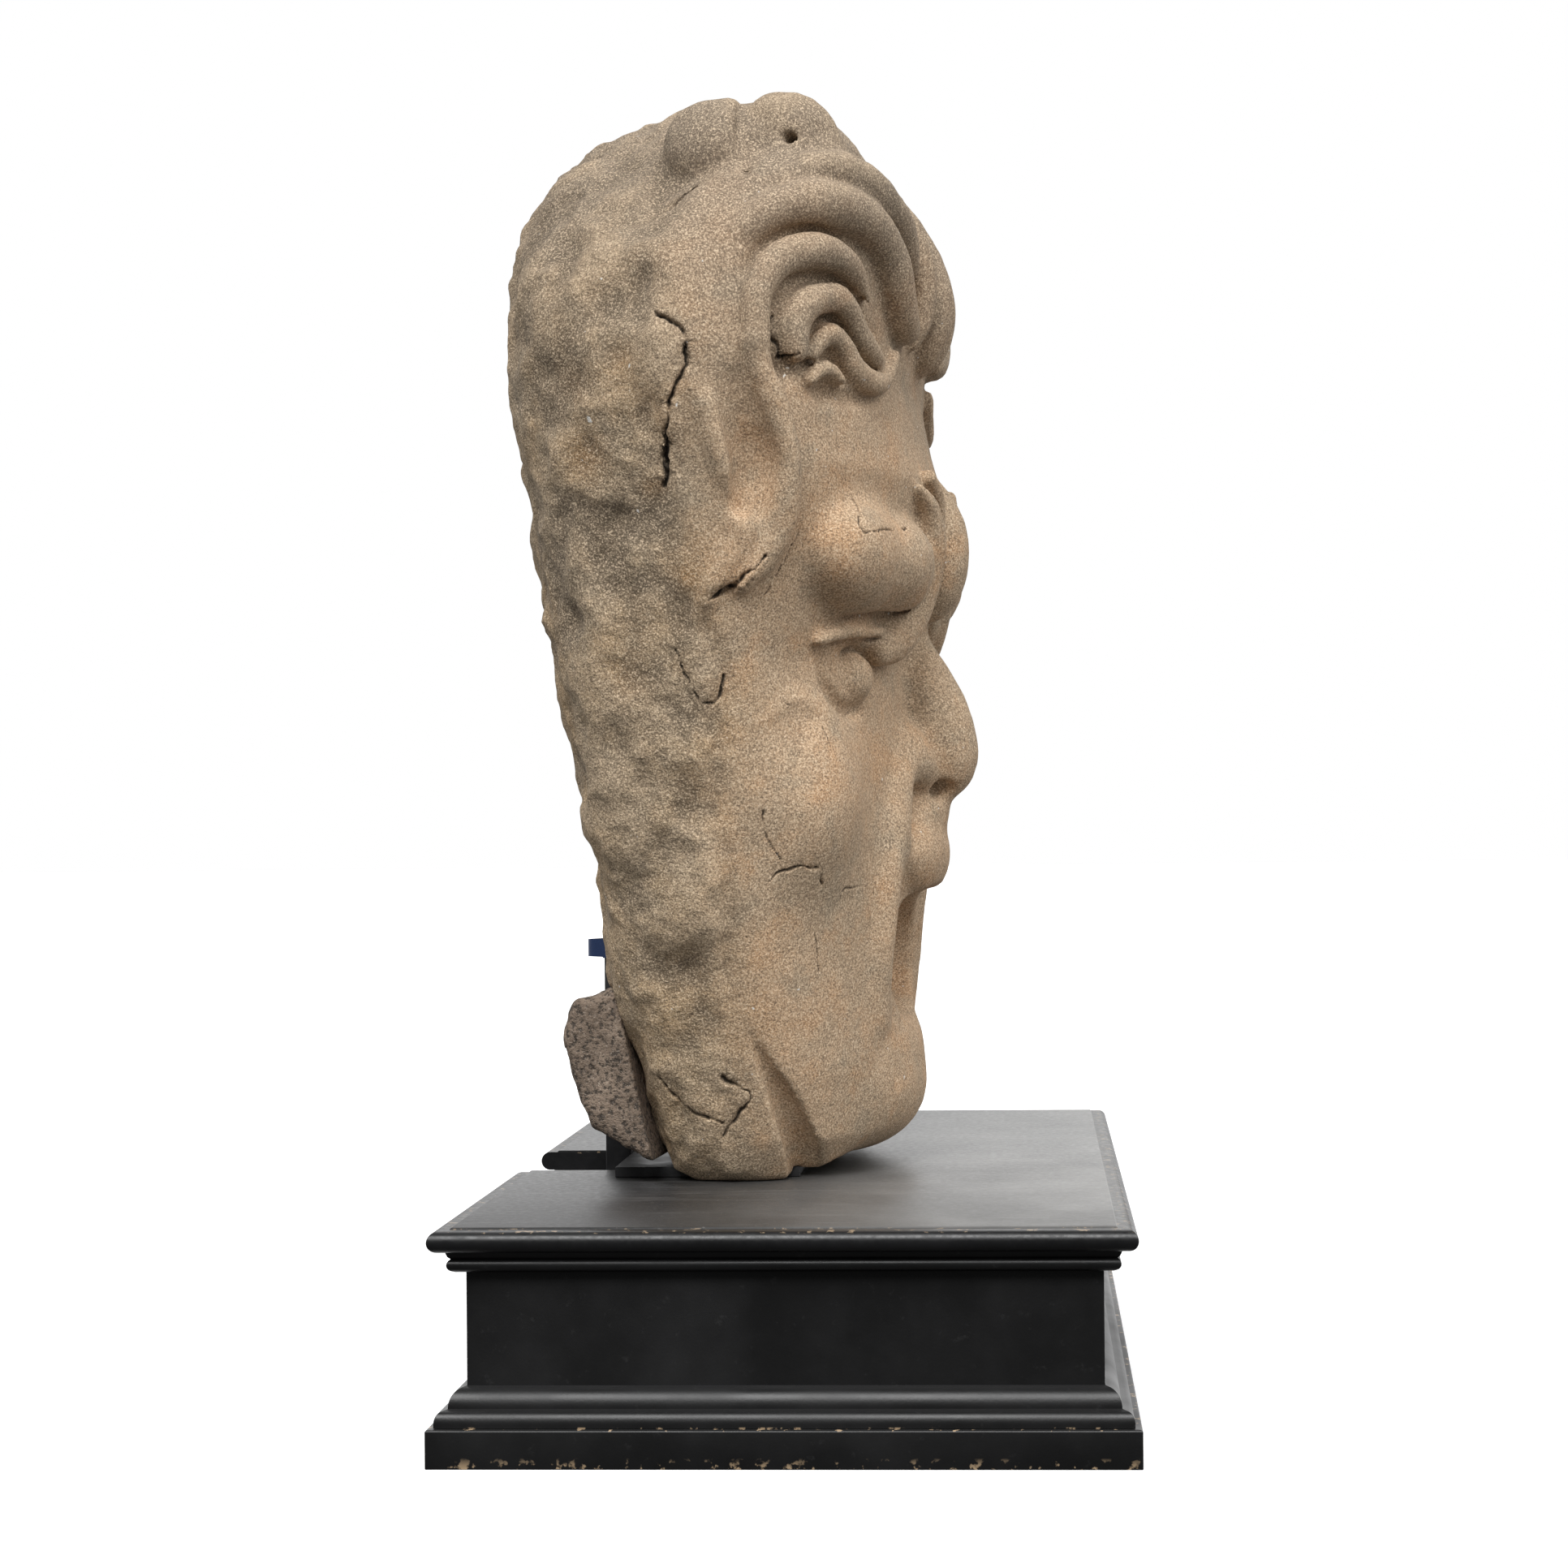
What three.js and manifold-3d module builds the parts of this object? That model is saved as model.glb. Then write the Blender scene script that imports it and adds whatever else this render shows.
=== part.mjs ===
import * as THREE from "three";
import { mergeVertices } from "three/addons/utils/BufferGeometryUtils.js";
import Module from "manifold-3d";

// A carved sandstone fountain mask on its moulded and painted wooden plinth.
// Millimetres, +Z up. The origin is on the floor under the middle of the plinth, and the mask looks
// along +X. The stone stands on its two beard lobes and on a steel foot plate, whose post rises
// behind it through a notch in the top of the plinth.

// Plinth
const plinthLength = 600;
const plinthWidth = 1010;
const plinthHeight = 200;
const slabThickness = 20;
const slabNoseOverhang = 9;
const slabNoseInset = 2;
const slabStepInset = 20;
const slabStepHeight = 1.6;
const dieInset = 30.5;
const panelThickness = 18;
const boardHeight = 33;
const boardArris = 1.5;
const baseMouldingHeight = 32;
const corniceHeight = 18;
const noseSegments = 8;
const mouldingSegments = 5;

// Steel stand
const postThickness = 25;
const postWidth = 60;
const postFront = -189;
const postAboveSlab = 290;
const platePlaneLength = 177;
const plateWidth = 292;
const plateThickness = 10;
const notchWidth = 170;
const notchClearance = 4;

// Tape wound round the post, with its loose end standing off at the back
const tapeWidth = 18;
const tapeThickness = 1.2;
const tapeAboveSlab = 205;
const tapeTail = 20;
const tapeSlack = 1;

// Mask: its carving is laid out in parts, of which its height holds partCount
const maskHeight = 1048;
const partCount = 1048;
const maskTurn = THREE.MathUtils.degToRad(4.5);
const maskSeat = -5;
const meshTriangles = 8200;

// Clearances
const touchGap = 0.3;
const tapeClearance = 2 * touchGap + tapeThickness;

const part = maskHeight / partCount;

const paints = {
  stone: new THREE.MeshStandardMaterial({ color: 0xb0946e, roughness: 0.95, metalness: 0 }),
  repair: new THREE.MeshStandardMaterial({ color: 0xa59688, roughness: 0.95, metalness: 0 }),
  paint: new THREE.MeshStandardMaterial({ color: 0x1b1c1e, roughness: 0.45, metalness: 0 }),
  slab: new THREE.MeshStandardMaterial({ color: 0x3a3b3d, roughness: 0.5, metalness: 0 }),
  steel: new THREE.MeshStandardMaterial({ color: 0x18181a, roughness: 0.5, metalness: 0.6 }),
  tape: new THREE.MeshStandardMaterial({ color: 0x1c3158, roughness: 0.5, metalness: 0 }),
};

const fountainMask = new THREE.Group();

function addMesh(parent, name, geometry, material) {
  const mesh = new THREE.Mesh(geometry, material);
  mesh.name = name;
  parent.add(mesh);
  return mesh;
}

function geometryFrom(positions, index) {
  const geometry = new THREE.BufferGeometry();
  geometry.setAttribute("position", new THREE.Float32BufferAttribute(positions, 3));
  geometry.setIndex(index);
  return geometry;
}

// Wooden plinth

// Points [inset, height] on part of an ellipse, from one angle to another.
function arcPoints(inset, height, radiusIn, radiusUp, from, to, segments) {
  const points = [];
  for (let i = 0; i <= segments; i++) {
    const angle = THREE.MathUtils.degToRad(from + ((to - from) * i) / segments);
    points.push([inset - radiusIn * Math.cos(angle), height + radiusUp * Math.sin(angle)]);
  }
  return points;
}

// A length of moulding along X on the -Y side, both ends mitred, from a closed profile of
// [inset, height] points that runs up the outside and down the back.
function mitredRun(profile, halfAlong, halfAcross) {
  const positions = [];
  for (const end of [-1, 1]) {
    for (const [inset, height] of profile) {
      positions.push(end * (halfAlong - inset - touchGap / 2), inset - halfAcross, height);
    }
  }
  const count = profile.length;
  const index = [];
  for (let i = 0; i < count; i++) {
    const next = (i + 1) % count;
    index.push(i, i + count, next, next, i + count, next + count);
  }
  const outline = profile.map(([inset, height]) => new THREE.Vector2(inset, height));
  const turn = Math.sign(THREE.ShapeUtils.area(outline));
  for (const [a, b, c] of THREE.ShapeUtils.triangulateShape(outline, [])) {
    const same = Math.sign(THREE.ShapeUtils.area([outline[a], outline[b], outline[c]])) === turn;
    const [p, q] = same ? [b, c] : [c, b];
    index.push(a, p, q, a + count, q + count, p + count);
  }
  return outwardFaces(geometryFrom(positions, index));
}

// Turns a closed mesh the right way out when its signed volume is negative.
function outwardFaces(geometry) {
  const at = geometry.getAttribute("position");
  const index = geometry.getIndex().array;
  const [a, b, c] = [new THREE.Vector3(), new THREE.Vector3(), new THREE.Vector3()];
  let volume = 0;
  for (let i = 0; i < index.length; i += 3) {
    a.fromBufferAttribute(at, index[i]);
    b.fromBufferAttribute(at, index[i + 1]);
    c.fromBufferAttribute(at, index[i + 2]);
    volume += a.dot(b.cross(c));
  }
  if (volume < 0) {
    for (let i = 0; i < index.length; i += 3) {
      [index[i], index[i + 1]] = [index[i + 1], index[i]];
    }
  }
  return geometry;
}

// One piece of moulding on each of the four sides.
function addRing(name, profile, material) {
  const sides = [
    ["right", 0, plinthLength, plinthWidth],
    ["front", 1, plinthWidth, plinthLength],
    ["left", 2, plinthLength, plinthWidth],
    ["back", 3, plinthWidth, plinthLength],
  ];
  for (const [side, quarter, along, across] of sides) {
    const run = mitredRun(profile, along / 2, across / 2);
    const mesh = addMesh(fountainMask, `${name}_${side}`, run, material);
    mesh.rotation.z = (quarter * Math.PI) / 2;
  }
}

// The inset of the faces that lie against the outside of the die.
const mouldingBack = dieInset - touchGap;

function boardProfile() {
  return [
    [0, 0],
    [0, boardHeight - boardArris],
    [boardArris, boardHeight],
    [mouldingBack, boardHeight],
    [mouldingBack, 0],
  ];
}

// A small ovolo, a quirk and a larger ovolo, one above the other.
function baseMouldingProfile() {
  const foot = boardHeight + touchGap;
  const lowRise = baseMouldingHeight * 0.42;
  const highRise = baseMouldingHeight * 0.52;
  const middle = foot + lowRise;
  return [
    [dieInset * 0.2, foot],
    ...arcPoints(dieInset * 0.42, foot + 3, dieInset * 0.22, lowRise - 3, 0, 80, mouldingSegments),
    [dieInset * 0.52, middle + 0.8],
    ...arcPoints(dieInset * 0.96, middle + 1.2, dieInset * 0.42, highRise, 0, 84, mouldingSegments),
    [mouldingBack, foot + baseMouldingHeight - touchGap],
    [mouldingBack, foot],
  ];
}

const slabFoot = plinthHeight - slabThickness;

function dieProfile() {
  const back = dieInset + panelThickness;
  return [[dieInset, 0], [dieInset, slabFoot - touchGap], [back, slabFoot - touchGap], [back, 0]];
}

// A bead under a hollow neck, close below the slab.
function corniceProfile() {
  const foot = slabFoot - corniceHeight;
  const head = slabFoot - touchGap;
  const beadRise = corniceHeight * 0.36;
  return [
    [dieInset * 0.74, foot],
    ...arcPoints(dieInset * 0.74, foot + beadRise, dieInset * 0.21, beadRise * 0.9, -70, 60, mouldingSegments),
    [dieInset * 0.56, head - corniceHeight * 0.24],
    [dieInset * 0.5, head],
    [mouldingBack, head],
    [mouldingBack, foot],
  ];
}

// The slab is a stack of rectangles that follow its round nose, with a low step above the nose.
function slabGeometry() {
  const noseHeight = slabThickness - slabStepHeight;
  const middle = slabFoot + noseHeight / 2;
  const nose = slabNoseInset + slabNoseOverhang;
  const profile = [
    ...arcPoints(nose, middle, slabNoseOverhang, noseHeight / 2, -90, 90, noseSegments),
    [slabStepInset - slabStepHeight / 2, plinthHeight - slabStepHeight],
    [slabStepInset, plinthHeight],
  ];
  const positions = [];
  for (const [inset, height] of profile) {
    const x = plinthLength / 2 - inset;
    const y = plinthWidth / 2 - inset;
    positions.push(-x, -y, height, x, -y, height, x, y, height, -x, y, height);
  }
  const index = [0, 2, 1, 0, 3, 2];
  for (let i = 0; i < profile.length - 1; i++) {
    for (let j = 0; j < 4; j++) {
      const low = 4 * i + j;
      const next = 4 * i + ((j + 1) % 4);
      index.push(low, next, low + 4, next, next + 4, low + 4);
    }
  }
  const top = 4 * (profile.length - 1);
  index.push(top, top + 1, top + 2, top, top + 2, top + 3);
  return outwardFaces(geometryFrom(positions, index));
}

// Joining and cutting

const wasm = await Module();
wasm.setup();

function solidFrom(geometry, matrix = new THREE.Matrix4()) {
  const bare = geometry.clone().applyMatrix4(matrix);
  bare.deleteAttribute("normal");
  bare.deleteAttribute("uv");
  const merged = mergeVertices(bare, 1e-4);
  const vertProperties = new Float32Array(merged.getAttribute("position").array);
  const triVerts = new Uint32Array(merged.getIndex().array);
  return new wasm.Manifold(new wasm.Mesh({ numProp: 3, vertProperties, triVerts }));
}

function geometryOf(solid) {
  const mesh = solid.getMesh();
  return geometryFrom(Array.from(mesh.vertProperties), Array.from(mesh.triVerts));
}

// A box between two corners.
function boxGeometry(low, high) {
  const size = high.map((value, i) => value - low[i]);
  const box = new THREE.BoxGeometry(...size);
  return box.translate(...low.map((value, i) => value + size[i] / 2));
}

const postBack = postFront - postThickness;

function addPlinth() {
  addRing("base_board", boardProfile(), paints.paint);
  addRing("base_moulding", baseMouldingProfile(), paints.paint);
  addRing("die_panel", dieProfile(), paints.paint);
  addRing("cornice", corniceProfile(), paints.paint);
  const notch = boxGeometry(
    [-plinthLength, -notchWidth / 2, 0],
    [postFront + notchClearance, notchWidth / 2, 2 * plinthHeight],
  );
  const slab = solidFrom(slabGeometry()).subtract(solidFrom(notch));
  addMesh(fountainMask, "plinth_top", geometryOf(slab), paints.slab);
}

// Steel stand: an upright flat bar behind the stone and a plate under it

const plateBack = postFront + touchGap;
const plateLow = [plateBack, -plateWidth / 2, plinthHeight + touchGap];
const plateHigh = [plateBack + platePlaneLength, plateWidth / 2, plinthHeight + plateThickness];

function addStand() {
  const post = boxGeometry(
    [postBack, -postWidth / 2, 0],
    [postFront, postWidth / 2, plinthHeight + postAboveSlab],
  );
  addMesh(fountainMask, "steel_post", post, paints.steel);
  addMesh(fountainMask, "foot_plate", boxGeometry(plateLow, plateHigh), paints.steel);
}

// A flat ring round the post with a loop of slack standing off its back.
function addTape() {
  const inner = touchGap;
  const outer = inner + tapeThickness;
  const half = postWidth / 2;
  const around = (offset) => [
    new THREE.Vector2(postFront + offset, -half - offset),
    new THREE.Vector2(postFront + offset, half + offset),
    new THREE.Vector2(postBack - offset, half + offset),
    new THREE.Vector2(postBack - tapeTail - offset, half * 0.35 + offset),
    new THREE.Vector2(postBack - tapeTail - offset, half * 0.05 - offset),
    new THREE.Vector2(postBack - offset, -half * 0.4 - tapeSlack - offset),
    new THREE.Vector2(postBack - offset, -half - offset),
  ];
  const shape = new THREE.Shape(around(outer));
  shape.holes.push(new THREE.Path(around(inner)));
  const band = new THREE.ExtrudeGeometry(shape, { depth: tapeWidth, bevelEnabled: false });
  band.translate(0, 0, plinthHeight + tapeAboveSlab);
  addMesh(fountainMask, "blue_tape", band, paints.tape);
}

// The stone's form, as a function that is negative inside it. It is laid out in parts, forward along
// x, out to either side along y and up from the top of the plinth along z. Both sides are alike.

const faceRoot = -60;
const crown = { top: 1048, sag: 236, halfWidth: 365, curve: 2.6, fallFrom: -80, fall: 0.37, round: 50 };

// The block: height, front, back, half width, squareness of the face and of the back.
const levels = [
  [-30, 30, -80, 150, 2.2, 4],
  [0, 50, -106, 192, 2.2, 4],
  [40, 84, -132, 214, 2.2, 4],
  [100, 96, -146, 236, 2.1, 4],
  [180, 98, -172, 262, 1.95, 4],
  [280, 104, -182, 288, 1.85, 3.8],
  [400, 104, -208, 312, 1.8, 3.6],
  [490, 98, -232, 326, 1.7, 3.5],
  [560, 112, -240, 336, 1.9, 3.4],
  [620, 126, -246, 346, 2.0, 3.3],
  [665, 130, -252, 353, 2.1, 3.2],
  [712, 116, -261, 360, 2.2, 3.1],
  [760, 106, -270, 365, 2.2, 3],
  [810, 109, -272, 367, 2.2, 2.9],
  [860, 112, -266, 368, 2.2, 2.8],
  [930, 99, -252, 368, 2.2, 2.6],
  [1000, 58, -232, 360, 2.2, 2.4],
  [1085, 0, -210, 340, 2.2, 2.2],
];

// Hair, brows and folds in relief: points [x, y, z, radius] along each ridge, its blend, and how far it
// stands off the block where it is laid on it.
const ridges = [
  { name: "crown roll", blend: 14, lift: -22, path: [[-90, 350, 850, 38], [-44, 322, 902, 40],
    [18, 284, 930, 40], [62, 226, 936, 36], [84, 160, 934, 28]] },
  { name: "hair side", blend: 18, lift: -26, path: [[-80, 352, 700, 34], [-70, 352, 770, 36],
    [-56, 348, 832, 38], [-24, 332, 872, 38], [14, 312, 896, 32]] },
  { name: "outer lock", blend: 9, lift: 6, path: [[-4, 338, 872, 12], [14, 322, 888, 19],
    [47, 294, 897, 22], [74, 236, 895, 22], [91, 186, 876, 22], [99, 158, 845, 21], [105, 132, 818, 19],
    [108, 106, 812, 14]] },
  { name: "second lock", blend: 9, lift: 5, path: [[0, 344, 772, 13], [2, 344, 802, 14],
    [12, 338, 826, 16], [26, 328, 843, 17], [46, 300, 853, 17], [66, 264, 849, 15], [77, 240, 834, 11],
    [84, 226, 822, 7]] },
  { name: "third lock", blend: 9, lift: 4, path: [[28, 318, 762, 15], [30, 318, 786, 16],
    [38, 308, 804, 16], [50, 292, 812, 15], [61, 274, 815, 15], [70, 256, 806, 14], [77, 240, 792, 13],
    [84, 220, 780, 12], [92, 196, 772, 10], [97, 182, 770, 7]] },
  { name: "fourth lock", blend: 9, lift: 4, path: [[45, 302, 762, 9], [52, 291, 777, 11],
    [60, 275, 781, 11], [68, 259, 771, 12], [75, 244, 755, 13], [85, 218, 747, 13], [93, 188, 750, 11],
    [99, 160, 764, 9], [102, 140, 782, 7]] },
  { name: "fifth lock", blend: 9, lift: 3, path: [[43, 303, 737, 7], [50, 292, 747, 9],
    [58, 280, 748, 9], [65, 268, 740, 8], [70, 258, 730, 5]] },
  { name: "front lock", blend: 9, lift: 8, path: [[22, 300, 921, 13], [50, 262, 930, 17],
    [76, 206, 926, 20], [92, 152, 914, 21], [102, 116, 893, 17], [108, 96, 872, 9]] },
  { name: "inner lock", blend: 9, path: [[58, 84, 958, 12], [82, 80, 940, 16], [106, 72, 912, 18],
    [118, 66, 872, 18], [118, 66, 832, 15], [110, 70, 806, 9]] },
  { name: "forelock", blend: 9, path: [[45, 22, 985, 14], [65, 22, 962, 17], [90, 20, 935, 20],
    [109, 18, 900, 23], [121, 17, 862, 24], [122, 16, 835, 23], [115, 14, 810, 20], [104, 12, 794, 13]] },
  { name: "ear rim", blend: 9, lift: -3, path: [[-60, 360, 740, 8], [-38, 357, 705, 13],
    [-24, 347, 664, 16], [-15, 337, 631, 16], [-14, 328, 596, 15], [-28, 330, 568, 13], [-46, 331, 541, 9]] },
  { name: "temple strand", blend: 10, lift: 2, path: [[0, 346, 762, 14], [12, 336, 720, 15],
    [18, 322, 680, 16], [19, 314, 640, 17], [13, 310, 606, 16], [0, 312, 578, 14], [-18, 318, 556, 10]] },
  { name: "brow scroll", blend: 9, lift: 6, path: [[88, 152, 642, 9], [104, 122, 648, 13],
    [116, 96, 634, 15], [120, 82, 604, 16], [116, 82, 572, 16], [106, 96, 542, 15], [94, 120, 516, 14],
    [80, 148, 500, 9]] },
  { name: "brow rim", blend: 9, lift: 6, path: [[100, 92, 666, 8], [115, 64, 654, 10],
    [122, 48, 618, 11], [120, 46, 578, 11], [112, 60, 540, 10], [102, 84, 514, 8]] },
  { name: "eyelid", blend: 9, lift: 5, path: [[36, 240, 508, 5], [48, 222, 514, 7], [60, 198, 519, 8],
    [74, 166, 522, 8], [84, 142, 522, 6]] },
  { name: "nose", blend: 14, path: [[76, 0, 535, 26], [100, 0, 490, 32], [118, 0, 448, 38],
    [125, 0, 412, 41], [126, 0, 398, 38]] },
  { name: "nose wing", blend: 10, path: [[96, 46, 420, 18], [106, 50, 398, 22], [110, 36, 386, 18]] },
  { name: "cheek fold", blend: 22, path: [[98, 66, 412, 12], [96, 92, 362, 14], [90, 108, 310, 15],
    [84, 118, 255, 14], [78, 120, 200, 13], [74, 108, 150, 10]] },
];

// Swellings: centre, radii and blend.
const swellings = [
  { name: "brow", centre: [84, 128, 582], radii: [44, 74, 48], blend: 10 },
  { name: "outer brow", centre: [60, 194, 588], radii: [54, 92, 59], blend: 14 },
  { name: "brow knob", centre: [112, 0, 607], radii: [47, 44, 72], blend: 10 },
  { name: "philtrum", centre: [98, 0, 350], radii: [38, 50, 30], blend: 12 },
  { name: "upper lip", centre: [102, 0, 306], radii: [34, 84, 46], blend: 12 },
  { name: "lower lip", centre: [76, 0, 122], radii: [28, 84, 22], blend: 16 },
  { name: "chin", centre: [46, 0, 78], radii: [64, 120, 62], blend: 20 },
  { name: "cheek", centre: [16, 205, 360], radii: [56, 70, 90], blend: 30 },
  { name: "crown lump behind", centre: [-48, 246, 954], radii: [54, 54, 52], blend: 8 },
  { name: "crown lump in front", centre: [14, 226, 962], radii: [48, 52, 51], blend: 8 },
];

// Hollows: centre, radii and blend. The first is the mouth of the spout.
const hollows = [
  { name: "mouth", centre: [116, 0, 208], radii: [112, 96, 66], blend: 8 },
  { name: "eye recess", centre: [70, 176, 492], radii: [20, 30, 14], blend: 6 },
  { name: "nostril", centre: [130, 24, 370], radii: [14, 10, 11], blend: 5 },
];

const eyeball = { centre: [54, 164, 474], radii: [28, 28, 27], blend: 5 };

// Channels cut along a line, in the same way as the ridges.
const channels = [
  { name: "ear hollow", blend: 8, lift: 4, path: [[-12, 354, 712, 9], [-5, 350, 680, 15],
    [-2, 342, 650, 17], [-12, 338, 618, 8]] },
  { name: "beard cleft", blend: 8, path: [[-24, 244, 140, 3], [-12, 232, 106, 9], [-1, 218, 76, 14],
    [8, 202, 48, 18], [16, 180, 16, 22], [18, 160, -10, 24]] },
  { name: "under outer lock", blend: 8, lift: 2, path: [[-8, 348, 826, 3], [3, 345, 846, 5],
    [20, 334, 863, 6], [48, 296, 873, 6], [70, 254, 864, 6], [80, 232, 844, 6], [80, 230, 821, 6],
    [88, 206, 802, 5], [96, 170, 795, 3]] },
  { name: "under fourth lock", blend: 8, lift: 2, path: [[47, 299, 728, 5], [58, 282, 729, 8],
    [70, 259, 729, 8], [83, 226, 728, 6], [97, 180, 734, 4]] },
  { name: "round the brow", blend: 8, lift: 6, path: [[78, 222, 612, 3], [96, 181, 617, 5],
    [110, 132, 619, 7], [114, 104, 606, 8], [114, 90, 578, 9], [104, 104, 552, 9], [94, 132, 534, 8],
    [80, 162, 524, 5]] },
];

// The underside: lobes at either side reach the plinth, and the chin between them stays clear.
const underside = { lobeStart: 120, lobeFull: 165, lobeMiddle: 177, chinClear: 10, blend: 10 };

function levelAt(z) {
  const last = levels.length - 1;
  let i = 0;
  while (i < last - 1 && z > levels[i + 1][0]) {
    i++;
  }
  const [low, high] = [levels[i], levels[i + 1]];
  const share = THREE.MathUtils.clamp((z - low[0]) / (high[0] - low[0]), 0, 1);
  return low.map((value, j) => value + share * (high[j] - value));
}

function smoothMin(a, b, blend) {
  const h = Math.max(blend - Math.abs(a - b), 0) / blend;
  return Math.min(a, b) - (h * h * blend) / 4;
}

function smoothMax(a, b, blend) {
  return -smoothMin(-a, -b, blend);
}

function blockField(x, y, z) {
  const [, front, back, halfWidth, faceSquare, backSquare] = levelAt(z);
  const ahead = x > faceRoot;
  const along = ahead ? (x - faceRoot) / (front - faceRoot) : (faceRoot - x) / (faceRoot - back);
  const square = ahead ? faceSquare : backSquare;
  const reach = Math.pow(Math.pow(along, square) + Math.pow(y / halfWidth, square), 1 / square);
  const radius = Math.hypot(x - faceRoot, y);
  const side = radius * (1 - 1 / Math.max(reach, 1e-6));
  const sag = crown.sag * Math.pow(y / crown.halfWidth, crown.curve);
  const over = (z - crown.top + sag + crown.fall * Math.max(crown.fallFrom - x, 0)) * 0.8;
  const lobe = THREE.MathUtils.smoothstep(y, underside.lobeStart, underside.lobeFull);
  const round = Math.max(x - 10, 0) ** 2 / 160 + Math.max(y - underside.lobeMiddle, 0) ** 2 / 50;
  const under = underside.chinClear * (1 - lobe) + round - z;
  return smoothMax(smoothMax(side, over, crown.round), under, underside.blend);
}

// The way out of the block at a point, as long as the field is steep there.
function blockSlope({ x, y, z }) {
  const step = 2;
  return new THREE.Vector3(
    blockField(x + step, y, z) - blockField(x - step, y, z),
    blockField(x, y + step, z) - blockField(x, y - step, z),
    blockField(x, y, z + step) - blockField(x, y, z - step),
  ).divideScalar(2 * step);
}

// Points laid on the block's surface and then lifted off it.
function laid(path, lift) {
  return path.map(([x, y, z, radius]) => {
    const at = new THREE.Vector3(x, y, z);
    for (let i = 0; i < 5; i++) {
      const slope = blockSlope(at);
      at.addScaledVector(slope, -blockField(at.x, at.y, at.z) / slope.lengthSq());
    }
    at.addScaledVector(blockSlope(at).normalize(), lift);
    return [at.x, at.y, at.z, radius];
  });
}

// A path made smooth, as short straight pieces with their radii.
function smoothPath(path) {
  const curve = new THREE.CatmullRomCurve3(path.map(([x, y, z]) => new THREE.Vector3(x, y, z)));
  const radii = path.map((point) => point[3]);
  const steps = 3 * (path.length - 1);
  const points = [];
  for (let i = 0; i <= steps; i++) {
    const at = (i / steps) * (path.length - 1);
    const k = Math.min(Math.floor(at), path.length - 2);
    const point = curve.getPoint(i / steps);
    points.push([point.x, point.y, point.z, radii[k] + (at - k) * (radii[k + 1] - radii[k])]);
  }
  return points;
}

// A ridge or channel with the box that it can reach.
function prepared({ path, blend, lift }) {
  const points = smoothPath(lift === undefined ? path : laid(path, lift));
  const reach = blend + Math.max(...points.map((point) => point[3]));
  const low = [0, 1, 2].map((i) => Math.min(...points.map((point) => point[i])) - reach);
  const high = [0, 1, 2].map((i) => Math.max(...points.map((point) => point[i])) + reach);
  return { points, blend, low, high };
}

const readyRidges = ridges.map(prepared);
const readyChannels = channels.map(prepared);

function outside({ low, high }, x, y, z) {
  return x < low[0] || x > high[0] || y < low[1] || y > high[1] || z < low[2] || z > high[2];
}

function pathField(points, x, y, z) {
  let nearest = Infinity;
  for (let i = 0; i < points.length - 1; i++) {
    const [a, b] = [points[i], points[i + 1]];
    const [dx, dy, dz] = [b[0] - a[0], b[1] - a[1], b[2] - a[2]];
    const [px, py, pz] = [x - a[0], y - a[1], z - a[2]];
    const length = dx * dx + dy * dy + dz * dz;
    const t = Math.min(Math.max((px * dx + py * dy + pz * dz) / length, 0), 1);
    const away = Math.hypot(px - t * dx, py - t * dy, pz - t * dz);
    nearest = Math.min(nearest, away - a[3] - t * (b[3] - a[3]));
  }
  return nearest;
}

function ballField({ centre, radii }, x, y, z) {
  const reach = Math.hypot((x - centre[0]) / radii[0], (y - centre[1]) / radii[1], (z - centre[2]) / radii[2]);
  return (reach - 1) * Math.min(...radii);
}

function stoneField(x, side, z) {
  const y = Math.abs(side);
  let field = blockField(x, y, z);
  for (const swelling of swellings) {
    field = smoothMin(field, ballField(swelling, x, y, z), swelling.blend);
  }
  for (const ridge of readyRidges) {
    if (!outside(ridge, x, y, z)) {
      field = smoothMin(field, pathField(ridge.points, x, y, z), ridge.blend);
    }
  }
  for (const channel of readyChannels) {
    if (!outside(channel, x, y, z)) {
      field = smoothMax(field, -pathField(channel.points, x, y, z), channel.blend);
    }
  }
  for (const hollow of hollows) {
    field = smoothMax(field, -ballField(hollow, x, y, z), hollow.blend);
  }
  field = smoothMin(field, ballField(eyeball, x, y, z), eyeball.blend);
  return Math.max(field, -z);
}

// The stone's surface. Every vertex lies on a ray that leaves an upright core, level along most of it
// and fanned out at its ends, at the first place where the ray leaves the stone.

const coreX = -75;
const coreLow = 110;
const coreHigh = 900;
const aroundSteps = 28;
const upSteps = 22;
const fanSteps = 4;
const capsuleRadius = 230;
const finestEdge = 8;
const relaxRounds = 3;

function surfacePoint(core, direction) {
  const [dx, dy, dz] = direction;
  const at = (t) => stoneField(coreX + t * dx, t * dy, core + t * dz);
  let near = 20;
  let far = near;
  for (let field = at(near); field < 0; field = at(far)) {
    near = far;
    far = near + Math.max(2.5, -0.45 * field);
  }
  for (let i = 0; i < 10; i++) {
    const middle = (near + far) / 2;
    if (at(middle) < 0) {
      near = middle;
    } else {
      far = middle;
    }
  }
  return [coreX + near * dx, near * dy, core + near * dz];
}

// The level and fanned rays of one meridian, from straight down to straight up, as [core, tilt].
function meridian() {
  const rays = [];
  for (let i = 1; i <= fanSteps; i++) {
    rays.push([coreLow, -90 + (90 * i) / (fanSteps + 1)]);
  }
  for (let i = 0; i <= upSteps; i++) {
    rays.push([coreLow + ((coreHigh - coreLow) * i) / upSteps, 0]);
  }
  for (let i = 1; i <= fanSteps; i++) {
    rays.push([coreHigh, (90 * i) / (fanSteps + 1)]);
  }
  return rays;
}

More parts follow.
